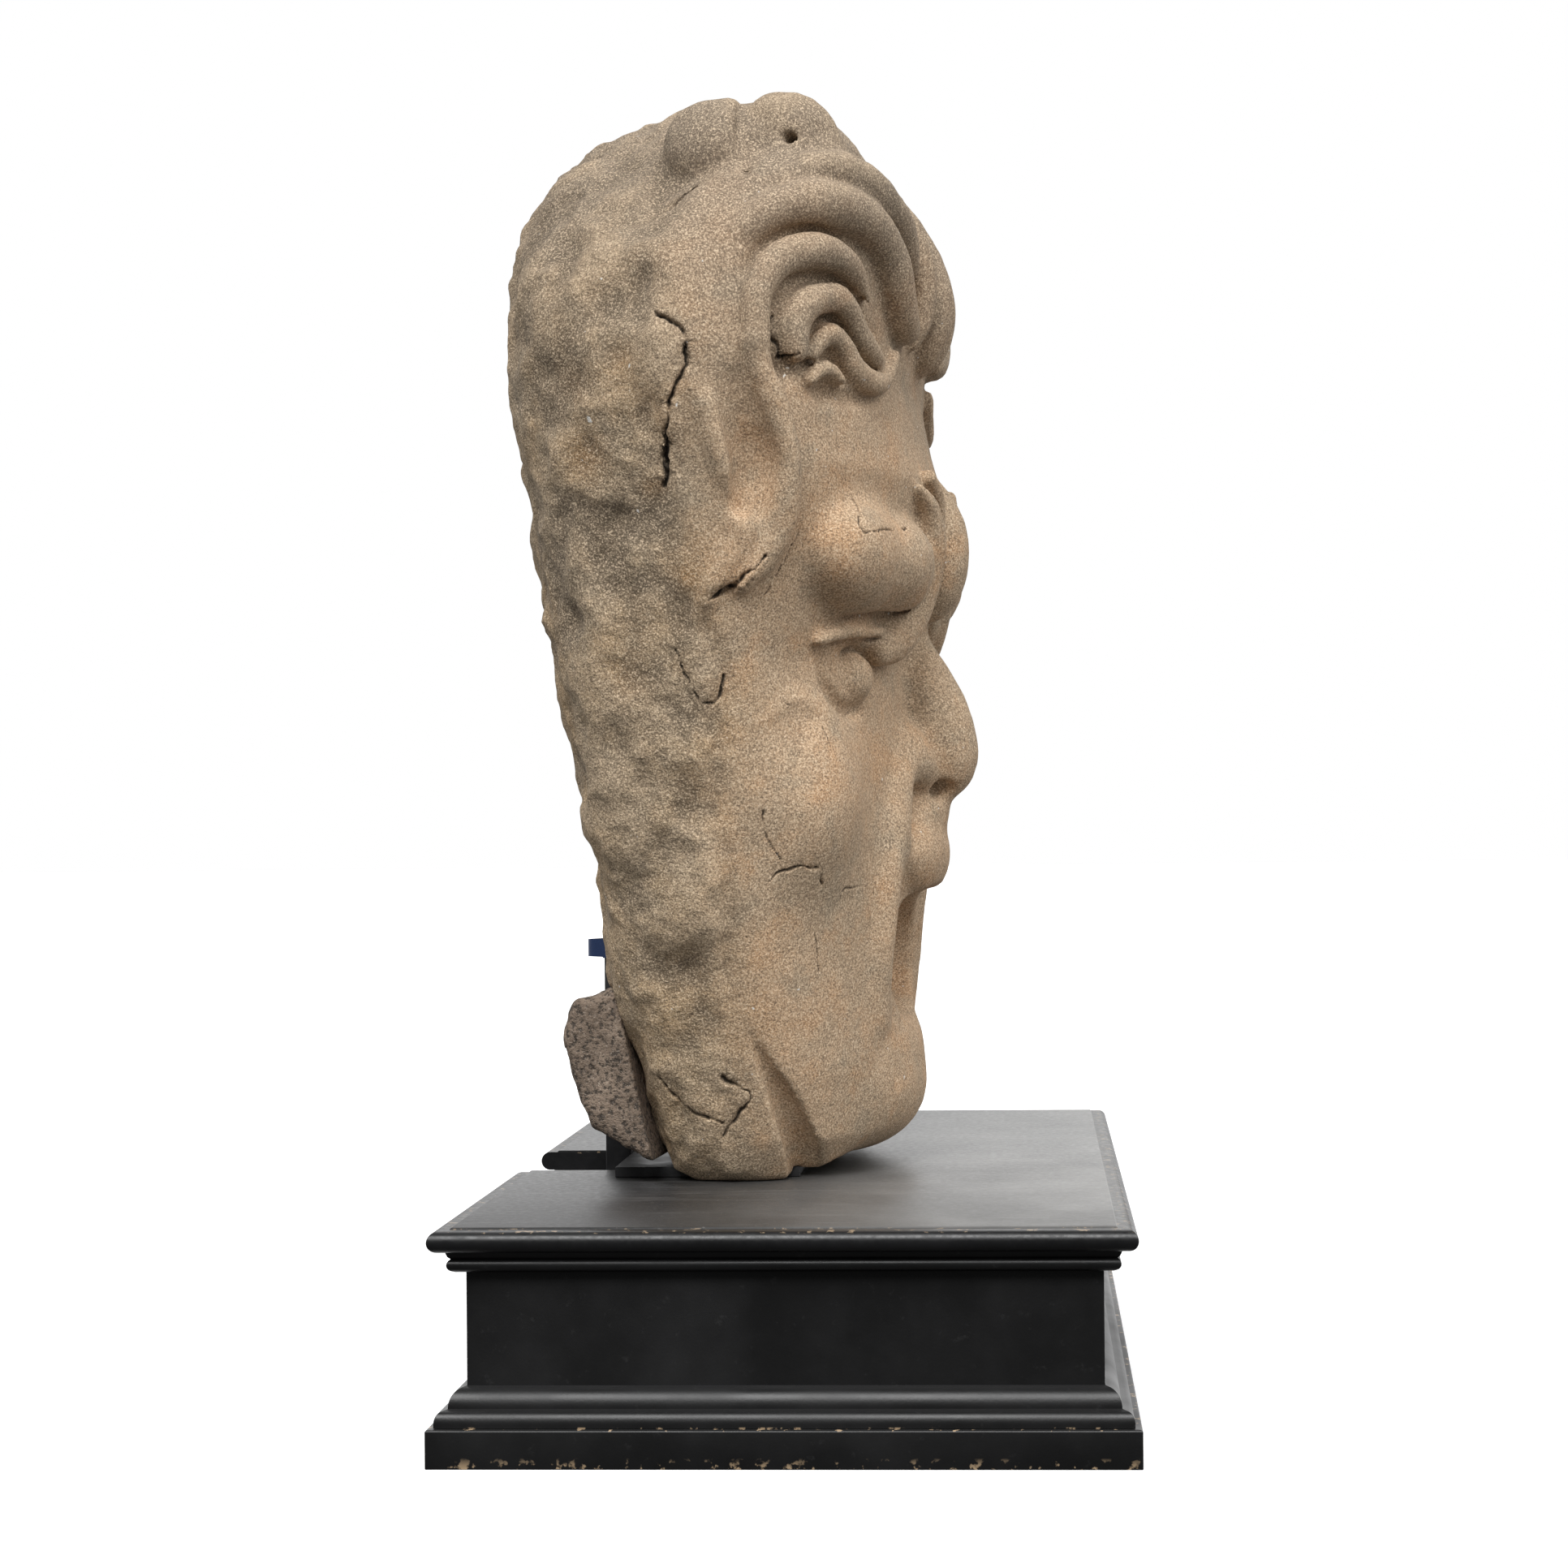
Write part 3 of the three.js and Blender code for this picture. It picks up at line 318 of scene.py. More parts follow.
class StoneGrid:
    """The stone as a field on a grid: negative inside, in millimetres. The y axis may be half of it."""

    def __init__(self, xs, ys, zs):
        self.axes = [xs, ys, zs]
        x, y, z = np.meshgrid(xs, ys, zs, indexing="ij")
        self.field = block_field(x, y, z).astype(np.float32)

    def window(self, low, high):
        cuts = []
        for axis, a, b in zip(self.axes, low, high):
            cuts.append(slice(*np.searchsorted(axis, [a, b])))
        x, y, z = np.meshgrid(*[axis[cut] for axis, cut in zip(self.axes, cuts)], indexing="ij")
        return tuple(cuts), x, y, z

    def line(self, points, lift, blend, cut=False):
        line = catmull(points if lift is None else laid(points, lift), 5)
        reach = line[:, 3].max() + blend + 2
        where, x, y, z = self.window(line[:, :3].min(0) - reach, line[:, :3].max(0) + reach)
        near = np.full(x.shape, 1e6, np.float32)
        for a, b in zip(line[:-1], line[1:]):
            d = b - a
            t = ((x - a[0]) * d[0] + (y - a[1]) * d[1] + (z - a[2]) * d[2]) / (d[:3] @ d[:3])
            t = np.clip(t, 0, 1)
            away = np.sqrt((x - a[0] - t * d[0]) ** 2 + (y - a[1] - t * d[1]) ** 2
                           + (z - a[2] - t * d[2]) ** 2)
            near = np.minimum(near, away - a[3] - t * d[3])
        self.merge(where, near, blend, cut)

    def ball(self, centre, radii, blend, cut=False):
        centre, radii = np.array(centre, float), np.array(radii, float)
        where, x, y, z = self.window(centre - radii - blend - 4, centre + radii + blend + 4)
        reach = np.sqrt(((x - centre[0]) / radii[0]) ** 2 + ((y - centre[1]) / radii[1]) ** 2
                        + ((z - centre[2]) / radii[2]) ** 2)
        self.merge(where, (reach - 1) * radii.min(), blend, cut)

    def room(self, low, high):
        """Takes out a box that stands square on the plinth, given in millimetres from the floor."""
        x, y, z = np.meshgrid(*self.axes, indexing="ij", sparse=True)
        c, s = math.cos(MASK_TURN), math.sin(MASK_TURN)
        wx = MASK_SEAT + x * c + y * s
        wy = y * c - x * s
        wz = z + PLINTH_TOP + TOUCH
        box = np.maximum(np.maximum(low[0] - wx, wx - high[0]), np.maximum(low[1] - wy, wy - high[1]))
        box = np.maximum(box, np.maximum(low[2] - wz, wz - high[2]))
        self.take_out(box)

    def repair_room(self):
        """Takes out the bed that the repair lies in."""
        x, y, z = np.meshgrid(*self.axes, indexing="ij", sparse=True)
        bed = np.maximum(seam_distance(x, z), z - SEAM[0][1] - BED_ABOVE)
        bed = np.maximum(bed, np.maximum(REPAIR_Y[0] - BED_BEFORE - y, y - REPAIR_Y[1] - BED_PAST))
        self.take_out(bed)

    def take_out(self, other):
        self.field = np.maximum(self.field, -other).astype(np.float32)

    def merge(self, where, other, blend, cut):
        here = self.field[where]
        self.field[where] = smooth_max(here, -other, blend) if cut else smooth_min(here, other, blend)


def surface_nets(field, axes):
    """The zero surface of a field on a grid, as vertices and four-sided faces that look outwards."""
    inside = field < 0
    n = [s - 1 for s in field.shape]

    def corner(array, offset):
        return array[tuple(slice(o, o + m) for o, m in zip(offset, n))]

    corners = [(i, j, k) for i in (0, 1) for j in (0, 1) for k in (0, 1)]
    count = sum(corner(inside, c).astype(np.int8) for c in corners)
    active = (count > 0) & (count < 8)
    cells = np.argwhere(active)
    number = np.full(n, -1, np.int64)
    number[active] = np.arange(len(cells))
    total = np.zeros((len(cells), 3))
    hits = np.zeros(len(cells))
    for c in corners:
        for axis in range(3):
            if c[axis]:
                continue
            d = list(c)
            d[axis] = 1
            a = corner(field, c)[active]
            b = corner(field, d)[active]
            cross = (a < 0) != (b < 0)
            t = a[cross] / (a[cross] - b[cross])
            spot = np.zeros((cross.sum(), 3))
            for i in range(3):
                here = cells[cross][:, i] + c[i]
                spot[:, i] = axes[i][here]
                if i == axis:
                    spot[:, i] += t * (axes[i][here + 1] - axes[i][here])
            total[cross] += spot
            hits[cross] += 1
    vertices = total / hits[:, None]
    faces = []
    for axis in range(3):
        low = np.take(inside, range(0, field.shape[axis] - 1), axis)
        high = np.take(inside, range(1, field.shape[axis]), axis)
        edges = np.argwhere(low != high)
        u, v = (axis + 1) % 3, (axis + 2) % 3
        edges = edges[(edges[:, u] > 0) & (edges[:, v] > 0) & (edges[:, u] < n[u]) & (edges[:, v] < n[v])]
        outward = low[tuple(edges.T)]
        quad = []
        for du, dv in ((-1, -1), (0, -1), (0, 0), (-1, 0)):
            cell = edges.copy()
            cell[:, u] += du
            cell[:, v] += dv
            quad.append(number[tuple(cell.T)])
        quad = np.stack(quad, 1)
        quad[~outward] = quad[~outward][:, ::-1]
        faces.append(quad)
    return vertices, np.concatenate(faces)


# The right side alone, from where it is seen: the rough block's dents (x, y, z, radius, depth), and
# the cracks and flaking edges as lines, with half their width and their depth.
DENTS = [
    (-171, -321, 863, 16, 6), (-120, -313, 892, 12, 5), (-134, -355, 812, 16, 6), (-167, -342, 735, 20, 7),
    (-153, -342, 684, 16, 6), (-183, -312, 630, 20, 7), (-124, -340, 611, 16, 6), (-179, -298, 528, 18, 7),
    (-75, -332, 538, 20, 6), (-100, -318, 452, 24, 5), (-134, -305, 409, 16, 5), (-67, -304, 364, 20, 4),
    (-109, -284, 275, 22, 5), (-76, -267, 200, 16, 5), (-104, -243, 131, 18, 6), (34, -238, 378, 26, 3),
    (22, -257, 423, 20, 3), (28, -322, 757, 12, 6), (20, -330, 742, 9, 5), (-10, -262, 318, 20, 3),
]
CRACKS = [
    (1.4, 7, [
        (-84, -365, 792), (-60, -364, 776), (-56, -363, 751), (-66, -361, 723), (-75, -358, 702),
        (-77, -352, 666), (-79, -348, 638)]),
    (0.7, 3, [
        (69, -260, 651), (78, -235, 628), (79, -225, 615), (83, -211, 608), (99, -172, 614),
        (112, -130, 619)]),
    (1.3, 6, [(4, -312, 578), (-14, -321, 558), (-45, -330, 539)]),
    (0.5, 2, [(33, -292, 601), (8, -301, 553), (-14, -310, 517)]),
    (0.7, 2.5, [(-5, -278, 349), (-4, -275, 336), (-3, -272, 326), (2, -266, 314), (7, -259, 302)]),
    (0.8, 3, [
        (-3, -266, 285), (6, -259, 293), (16, -250, 295), (28, -238, 298), (38, -222, 295),
        (39, -218, 277)]),
    (0.7, 2.5, [(-32, -277, 261), (-33, -274, 251), (-31, -271, 241), (-25, -268, 234), (-19, -265, 235)]),
    (0.7, 2, [(52, -195, 264), (54, -190, 272), (59, -184, 276), (73, -154, 277)]),
    (0.6, 2, [(30, -224, 243), (33, -219, 232), (34, -214, 220), (35, -208, 197)]),
    (1.1, 4, [(-52, -236, 101), (-27, -226, 85), (-44, -220, 62), (-56, -215, 46)]),
    (1.0, 4, [(-114, -225, 100), (-85, -223, 69), (-55, -220, 58)]),
    (1.1, 4, [(17, -334, 790), (14, -336, 778), (20, -330, 766), (23, -328, 755), (37, -311, 760)]),
    (0.8, 3, [(-73, -326, 495), (-66, -322, 468), (-54, -318, 447), (-40, -315, 450), (-34, -315, 473)]),
    (0.5, 1.5, [(14, -268, 450), (26, -248, 440), (42, -226, 428), (50, -213, 404)]),
]
STAINS = [(-168, -342, 735, 15), (-150, -338, 668, 18), (-112, -350, 748, 13), (-90, -340, 640, 12),
          (-60, -330, 560, 14), (-120, -300, 470, 20)]
EDGE_HEIGHTS = [0, 160, 312, 378, 437, 520, 600, 700, 800, 900, 1050]
EDGE_PLACES = [-46, -44, -44, -37, -28, -48, -66, -74, -62, -80, -110]


def build_stone_field(step):
    xs = np.arange(-306, 190, step)
    half = np.arange(step / 2, 410, step)
    zs = np.arange(-8, 1066, step)
    grid = StoneGrid(xs, half, zs)
    for blend, centre, radii in SWELLINGS.values():
        grid.ball(centre, radii, blend)
    for blend, lift, points in RIDGES.values():
        grid.line(points, lift, blend)
    for blend, lift, points in CHANNELS.values():
        grid.line(points, lift, blend, cut=True)
    for blend, centre, radii in HOLLOWS.values():
        grid.ball(centre, radii, blend, cut=True)
    grid.ball(EYEBALL[1], EYEBALL[2], EYEBALL[0])
    grid.field = np.concatenate([grid.field[:, ::-1], grid.field], axis=1)
    ys = np.concatenate([-half[::-1], half])
    grid.axes = [xs, ys, zs]
    for points in DRILLED:
        grid.line(points, None, 4, cut=True)
    grid.field = np.maximum(grid.field, -zs[None, None, :].astype(np.float32))
    for low, high in (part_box("foot_plate"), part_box("steel_post")):
        grid.room(np.array(low) / MM - 2 * TOUCH, np.array(high) / MM + 2 * TOUCH)
    grid.repair_room()
    return grid


def seam_distance(x, z):
    """How far a place lies ahead of the sloping bed of the repair."""
    (x0, z0), (x1, z1) = SEAM
    length = math.hypot(x1 - x0, z1 - z0)
    return ((x - x0) * (z0 - z1) + (z - z0) * (x1 - x0)) / length


def lattice_noise(points, scale, seed):
    """Smooth noise from -1 to 1 at each point."""
    size = 48
    table = np.random.default_rng(seed).uniform(-1, 1, (size, size, size)).astype(np.float32)
    q = np.asarray(points) / scale + 500.0
    i = np.floor(q).astype(int)
    f = q - i
    f = f * f * (3 - 2 * f)
    total = np.zeros(len(q))
    for corner in range(8):
        step = np.array([corner & 1, corner >> 1 & 1, corner >> 2 & 1])
        weight = np.prod(np.where(step, f, 1 - f), axis=1)
        k = (i + step) % size
        total += weight * table[k[:, 0], k[:, 1], k[:, 2]]
    return total


def wander(points, scale, seed):
    """Smooth noise in all three directions."""
    return np.stack([lattice_noise(points, scale, seed + k) for k in range(3)], 1)


def block_share(p, soft=20.0):
    """1 on the roughly hewn block behind the face, and 0 on the carved face."""
    edge = np.interp(p[:, 2], EDGE_HEIGHTS, EDGE_PLACES)
    edge = edge + 10 * lattice_noise(p, 60, 3) + 4 * lattice_noise(p, 18, 4)
    side = smooth_step(edge - p[:, 0], -soft, soft)
    top = smooth_step(p[:, 2] + 0.3 * p[:, 0] + 14 * lattice_noise(p, 45, 5), 905, 1005)
    return np.maximum(side, 0.55 * top)


def vertex_normals(points, quads):
    across = np.cross(points[quads[:, 2]] - points[quads[:, 0]], points[quads[:, 3]] - points[quads[:, 1]])
    normals = np.zeros_like(points)
    for k in range(3):
        for corner in range(4):
            normals[:, k] += np.bincount(quads[:, corner], across[:, k], len(points))
    return normals / np.maximum(np.linalg.norm(normals, axis=1), 1e-9)[:, None]


def nearest_among(places):
    kd = KDTree(len(places))
    for i, place in enumerate(places):
        kd.insert(place, i)
    kd.balance()
    return kd


def dished(points, count, width, seed):
    """Shallow hollows with sharp edges between them, as where flakes have come off."""
    rng = np.random.default_rng(seed)
    kd = nearest_among(points[rng.choice(len(points), count, replace=False)])
    moved = points + wander(points, width * 0.7, seed + 10) * width * 0.2
    away = np.array([kd.find(p)[2] for p in moved])
    return np.minimum((away / (width * 0.6)) ** 2, 1.6)


def weathered(points, quads):
    """The stone's vertices moved in and out by tool marks, wear and dents."""
    normals = vertex_normals(points, quads)
    share = block_share(points)
    long = points * (1.0, 1.0, 0.55)
    hewn = 6.0 * lattice_noise(points, 85, 11) + 4.6 * lattice_noise(long, 36, 12)
    hewn += 5.0 * (0.4 - np.abs(lattice_noise(long, 44, 19))) + 2.2 * lattice_noise(long, 16, 13)
    hewn += 1.0 * lattice_noise(points, 8, 18) - 6.0 * np.maximum(lattice_noise(long, 24, 14) - 0.35, 0)
    worn = 0.9 * lattice_noise(points, 70, 15) + 0.6 * lattice_noise(points, 24, 16)
    worn += 0.35 * lattice_noise(points, 11, 17)
    hewn += 3.0 * dished(points, 560, 40.0, 51) + 1.0 * dished(points, 2600, 19.0, 52) - 4.4
    shift = share * hewn + (1 - share) * worn
    for x, y, z, radius, depth in DENTS:
        away = np.linalg.norm((points - (x, y, z)) * (1, 0.6, 0.8), axis=1) / radius
        shift -= depth * np.exp(-away ** 2)
    rng = np.random.default_rng(21)
    for _ in range(26):
        turn, z = rng.uniform(0.2, 3.4), rng.uniform(120, 960)
        centre = np.array([-90 - 160 * math.sin(turn), 330 * math.cos(turn), z])
        away = np.linalg.norm((points - centre) * (1, 1, 0.7), axis=1) / rng.uniform(14, 30)
        shift -= rng.uniform(3, 7) * np.exp(-away ** 2) * share
    flat = smooth_step(points[:, 2], 1.0, 14.0)
    return points + normals * (shift * flat)[:, None]


def seen_from_camera(tree, point):
    """Where the stone is met on the way from the camera to a point, in the stone's millimetres."""
    origin = MASK_MATRIX.inverted() @ Vector(CAMERA_AT)
    hit = tree.ray_cast(origin, Vector(point) - origin)[0]
    return np.array(hit if hit else point)


def crack_points(tree):
    """Every crack as close points on the stone: place, half width and depth."""
    places = []
    for half_width, depth, line in CRACKS:
        line = catmull([(*p, 1.0) for p in line], 8)[:, :3]
        for a, b in zip(line[:-1], line[1:]):
            steps = max(int(np.linalg.norm(b - a) / 1.2), 1)
            for t in range(steps):
                places.append((seen_from_camera(tree, a + (b - a) * t / steps), half_width, depth))
    at = np.array([place for place, _, _ in places])
    moved = at + (wander(at, 9, 41) * 2.2 + wander(at, 3.5, 44) * 0.7)
    swell = 1 + 0.6 * lattice_noise(at, 14, 47)
    return [(p, width * k, depth * k) for p, k, (_, width, depth) in zip(moved, swell, places)]


def cut_cracks(mesh, places):
    """Makes the mesh finer along the cracks and sinks them in. Gives how deep each vertex went."""
    kd = nearest_among([place for place, _, _ in places])
    bm = bmesh.new()
    bm.from_mesh(mesh)
    for _ in range(5):
        edges = []
        for e in bm.edges:
            a, b = e.verts[0].co, e.verts[1].co
            length = (a - b).length
            if a.y < 0 and length > 1.5 and kd.find((a + b) / 2)[2] < 1.8 + 0.5 * length:
                edges.append(e)
        bmesh.ops.subdivide_edges(bm, edges=edges, cuts=1)
        bmesh.ops.triangulate(bm, faces=[f for f in bm.faces if len(f.verts) > 3])
    bm.normal_update()
    dark = np.zeros(len(bm.verts))
    moves = []
    for i, v in enumerate(bm.verts):
        if v.co.y > 0:
            continue
        _, nearest, away = kd.find(v.co)
        _, width, depth = places[nearest]
        if away < 2 * width:
            dark[i] = 1 - away / (2 * width)
            moves.append((v, v.normal * depth * dark[i]))
    for v, move in moves:
        v.co -= move
    bm.to_mesh(mesh)
    bm.free()
    return dark


def blurred(inside, cells):
    """How full of stone the neighbourhood of each grid place is, from 0 to 1."""
    full = inside.astype(np.float32)
    for axis in range(3):
        total = np.cumsum(full, axis=axis, dtype=np.float32)
        ahead = np.take(total, np.minimum(np.arange(full.shape[axis]) + cells, full.shape[axis] - 1), axis)
        behind = np.take(total, np.maximum(np.arange(full.shape[axis]) - cells - 1, 0), axis)
        full = (ahead - behind) / (2 * cells + 1)
    return full


def sampled(values, axes, points):
    """The grid's values at each point, blended between grid places."""
    spots = [np.clip((points[:, k] - a[0]) / (a[1] - a[0]), 0, len(a) - 1.001) for k, a in enumerate(axes)]
    base = [q.astype(int) for q in spots]
    total = np.zeros(len(points))
    for corner in range(8):
        step = (corner & 1, corner >> 1 & 1, corner >> 2 & 1)
        weight = 1.0
        for q, i, d in zip(spots, base, step):
            weight = weight * (q - i if d else 1 - (q - i))
        total += weight * values[tuple(i + d for i, d in zip(base, step))]
    return total


def point_colors(mesh, name, channels):
    data = np.ones((len(mesh.vertices), 4), np.float32)
    for k, channel in enumerate(channels):
        data[:, k] = channel
    mesh.attributes.new(name, "FLOAT_COLOR", "POINT").data.foreach_set("color", data.ravel())


def coordinates_of(mesh):
    at = np.zeros(3 * len(mesh.vertices))
    mesh.vertices.foreach_get("co", at)
    return at.reshape(-1, 3)


def applied(piece):
    """Fixes the piece's modifiers into its mesh."""
    graph = bpy.context.evaluated_depsgraph_get()
    mesh = bpy.data.meshes.new_from_object(piece.evaluated_get(graph))
    piece.modifiers.clear()
    piece.data = mesh
    return piece


def thinned(piece, triangles):
    count = sum(len(f.vertices) - 2 for f in piece.data.polygons)
    if count > triangles:
        decimate = piece.modifiers.new("thin", "DECIMATE")
        decimate.ratio = triangles / count
        decimate.use_collapse_triangulate = True
        applied(piece)
    return piece


def add_stone():
    grid = build_stone_field(STONE_STEP)
    vertices, faces = surface_nets(grid.field, grid.axes)
    vertices = weathered(vertices, faces)
    stone = mesh_object("carved_mask", vertices, faces, Matrix.Identity(4))
    thinned(stone, STONE_TRIANGLES)
    tree = BVHTree.FromPolygons([v.co.copy() for v in stone.data.vertices],
                                [tuple(f.vertices) for f in stone.data.polygons])
    dark = cut_cracks(stone.data, crack_points(tree))
    at = coordinates_of(stone.data)
    cells = max(int(CAVITY_REACH / STONE_STEP), 1)
    tight = sampled(blurred(grid.field < 0, cells), grid.axes, at)
    stain = np.zeros(len(at))
    for x, y, z, radius in STAINS:
        stain += np.exp(-(np.linalg.norm(at - (x, y, z), axis=1) / radius) ** 2)
    # First channel, how full of stone each place is, and third, closeness to a crack, feed painted shade in
    # hollows and cracks; second is the hewn block's share.
    point_colors(stone.data, "shade_and_hewn", [tight, block_share(at, 52.0), dark])
    point_colors(stone.data, "stain_and_height", [np.clip(stain, 0, 1), at[:, 2] / CROWN_TOP])
    stone.data.transform(MASK_MATRIX)
    stone.data.update()
    stone.data.shade_smooth()
    dress(stone, ["mask"], sandstone())


def mesh_object(name, vertices, faces, matrix):
    vertices = np.array(vertices) @ np.array(matrix.to_3x3()).T + np.array(matrix.translation)
    mesh = bpy.data.meshes.new(name)
    mesh.from_pydata(vertices.tolist(), [], [list(map(int, face)) for face in faces])
    mesh.update()
    return linked(name, mesh)


def dress(piece, nodes, material):
    piece.data.materials.clear()
    piece.data.materials.append(material)
    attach(piece, "root")
    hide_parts(*nodes)


def outline_distance(x, z, outline):
    """Signed distance to a closed outline, negative inside it."""
    near = np.full(x.shape, 1e9)
    inside = np.zeros(x.shape, bool)
    for (x0, z0), (x1, z1) in zip(outline, outline[1:] + outline[:1]):
        dx, dz = x1 - x0, z1 - z0
        t = np.clip(((x - x0) * dx + (z - z0) * dz) / (dx * dx + dz * dz), 0, 1)
        near = np.minimum(near, np.hypot(x - x0 - t * dx, z - z0 - t * dz))
        crosses = (z0 > z) != (z1 > z)
        inside ^= crosses & (x < x0 + (z - z0) * dx / (dz if dz else 1e-9))
    return np.where(inside, -near, near)


def add_repair():
    axes = [np.arange(low, high, REPAIR_STEP) for low, high in ((-226, -90), (-236, -60), (-4, 204))]
    x, y, z = np.meshgrid(*axes, indexing="ij")
    middle, half = sum(REPAIR_Y) / 2, (REPAIR_Y[1] - REPAIR_Y[0]) / 2
    field = smooth_max(outline_distance(x, z, REPAIR_OUTLINE), np.abs(y - middle) - half, 12)
    field = smooth_max(field, seam_distance(x, z) + 1.2, 3)
    vertices, faces = surface_nets(field.astype(np.float32), axes)
    normals = vertex_normals(vertices, faces)
    free = smooth_step(-seam_distance(vertices[:, 0], vertices[:, 2]), 2, 14)
    shift = 3.4 * lattice_noise(vertices, 34, 31) + 2.2 * lattice_noise(vertices, 13, 32)
    shift -= 5.0 * np.maximum(lattice_noise(vertices, 9, 33) - 0.4, 0)
    vertices = vertices + normals * (shift * free - 0.8)[:, None]
    repair = mesh_object("old_repair", vertices, faces, MASK_MATRIX)
    repair.data.shade_smooth()
    dress(repair, ["repair_block"], repair_stone())


def side_of(node):
    """The low and high corners of a piece of the plinth or stand, in millimetres."""
    low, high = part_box(node)
    return np.array(low) / MM, np.array(high) / MM


BOARD_HIGH = side_of("base_board_front")[1]
PLINTH_LENGTH, PLINTH_WIDTH = 2 * BOARD_HIGH[0], 2 * side_of("base_board_left")[1][1]
DIE_INSET = BOARD_HIGH[0] - side_of("die_panel_front")[1][0]
PANEL_THICKNESS = 18
NOTCH_HALF_WIDTH, NOTCH_CLEAR, NOTCH_TOP = 85, 4, 400
TAPE_HALF_THICKNESS, TAPE_STANDOFF = 0.5, 0.9
SHARP_EDGE = math.radians(35)


def arc(inset, height, radius_in, radius_up, start, end, count):
    angles = np.radians(np.linspace(start, end, count + 1))
    return [(inset - radius_in * math.cos(t), height + radius_up * math.sin(t)) for t in angles]


def between_rings(rings, size, closed=False):
    """The four-sided faces between rings of corners that follow each other."""
    faces = []
    for r in range(rings if closed else rings - 1):
        here, there = r * size, (r + 1) % rings * size
        for i in range(size):
            j = (i + 1) % size
            faces.append((here + i, here + j, there + j, there + i))
    return faces


def mitred_run(profile, half_along, half_across, pieces=24):
    """A moulding along x on the -y side, mitred at both ends."""
    rings = []
    for share in np.linspace(-1, 1, pieces + 1):
        rings.append([(share * (half_along - inset - TOUCH / 2), inset - half_across, height)
                      for inset, height in profile])
    n = len(profile)
    vertices = [p for ring in rings for p in ring]
    faces = between_rings(pieces + 1, n)
    faces.append(tuple(range(n)))
    faces.append(tuple(reversed(range(pieces * n, (pieces + 1) * n))))
    return np.array(vertices, float), faces


def tidy_normals(piece):
    bm = bmesh.new()
    bm.from_mesh(piece.data)
    bmesh.ops.recalc_face_normals(bm, faces=bm.faces)
    bm.to_mesh(piece.data)
    bm.free()
    piece.data.shade_smooth()
    piece.data.set_sharp_from_angle(angle=SHARP_EDGE)


def add_ring(name, profile, material):
    for quarter, side in enumerate(("right", "front", "left", "back")):
        along, across = (PLINTH_WIDTH, PLINTH_LENGTH) if quarter % 2 else (PLINTH_LENGTH, PLINTH_WIDTH)
        vertices, faces = mitred_run(profile, along / 2, across / 2)
        turn = Matrix.Rotation(quarter * math.pi / 2, 4, "Z")
        piece = mesh_object(f"joinery_{name}_{side}", vertices, faces, Matrix.Scale(MM, 4) @ turn)
        tidy_normals(piece)
        dress(piece, [f"{name}_{side}"], material)


def add_plinth():
    material = plinth_paint()
    back = DIE_INSET - TOUCH
    top = BOARD_HIGH[2]
    add_ring("base_board", arc(1, 1, 1, 1, -90, 0, 3) + arc(2, top - 2, 2, 2, 0, 90, 6)
             + [(back, top), (back, 0)], material)
    low, high = side_of("base_moulding_front")
    foot, rise = low[2], high[2] - low[2]
    middle = foot + 0.42 * rise
    add_ring("base_moulding", [(DIE_INSET * 0.2, foot)]
             + arc(DIE_INSET * 0.42, foot + 3, DIE_INSET * 0.22, 0.42 * rise - 3, 0, 80, 12)
             + [(DIE_INSET * 0.52, middle + 0.8)]
             + arc(DIE_INSET * 0.96, middle + 1.2, DIE_INSET * 0.42, 0.52 * rise, 0, 84, 16)
             + [(back, foot + rise), (back, foot)], material)
    low, high = side_of("die_panel_front")
    behind = DIE_INSET + PANEL_THICKNESS
    add_ring("die_panel", [(DIE_INSET, low[2]), (DIE_INSET, high[2]), (behind, high[2]), (behind, low[2])],
             material)
    low, high = side_of("cornice_front")
    foot, rise = low[2], high[2] - low[2]
    add_ring("cornice", [(DIE_INSET * 0.74, foot)]
             + arc(DIE_INSET * 0.74, foot + 0.36 * rise, DIE_INSET * 0.21, 0.33 * rise, -70, 60, 14)
             + [(DIE_INSET * 0.56, foot + 0.76 * rise), (DIE_INSET * 0.5, foot + rise), (back, foot + rise),
                (back, foot)], material)
    add_slab()


def add_slab():
    low, high = side_of("plinth_top")
    step_height, step_inset, nose_inset, overhang = 1.6, 20.0, 2.0, 9.0
    nose = high[2] - low[2] - step_height
    profile = arc(nose_inset + overhang, low[2] + nose / 2, overhang, nose / 2, -90, 90, 18)
    profile += [(step_inset - 1.2, high[2] - step_height), (step_inset - 0.3, high[2] - 0.5),
                (step_inset + 0.5, high[2])]
    vertices = []
    for inset, height in profile:
        x, y = PLINTH_LENGTH / 2 - inset, PLINTH_WIDTH / 2 - inset
        vertices += [(-x, -y, height), (x, -y, height), (x, y, height), (-x, y, height)]
    last = 4 * (len(profile) - 1)
    faces = between_rings(len(profile), 4)
    faces += [(3, 2, 1, 0), (last, last + 1, last + 2, last + 3)]
    slab = mesh_object("plinth_slab", vertices, faces, Matrix.Scale(MM, 4))
    tidy_normals(slab)
    post = side_of("steel_post")[1]
    cutter = box_object("notch_cutter", (-PLINTH_LENGTH, -NOTCH_HALF_WIDTH, 0),
                        (post[0] + NOTCH_CLEAR, NOTCH_HALF_WIDTH, NOTCH_TOP))
    cut = slab.modifiers.new("notch", "BOOLEAN")
    cut.object = cutter
    cut.operation = "DIFFERENCE"
    cut.solver = "EXACT"
    applied(slab)
    bpy.data.objects.remove(cutter)
    tidy_normals(slab)
    dress(slab, ["plinth_top"], slab_paint())


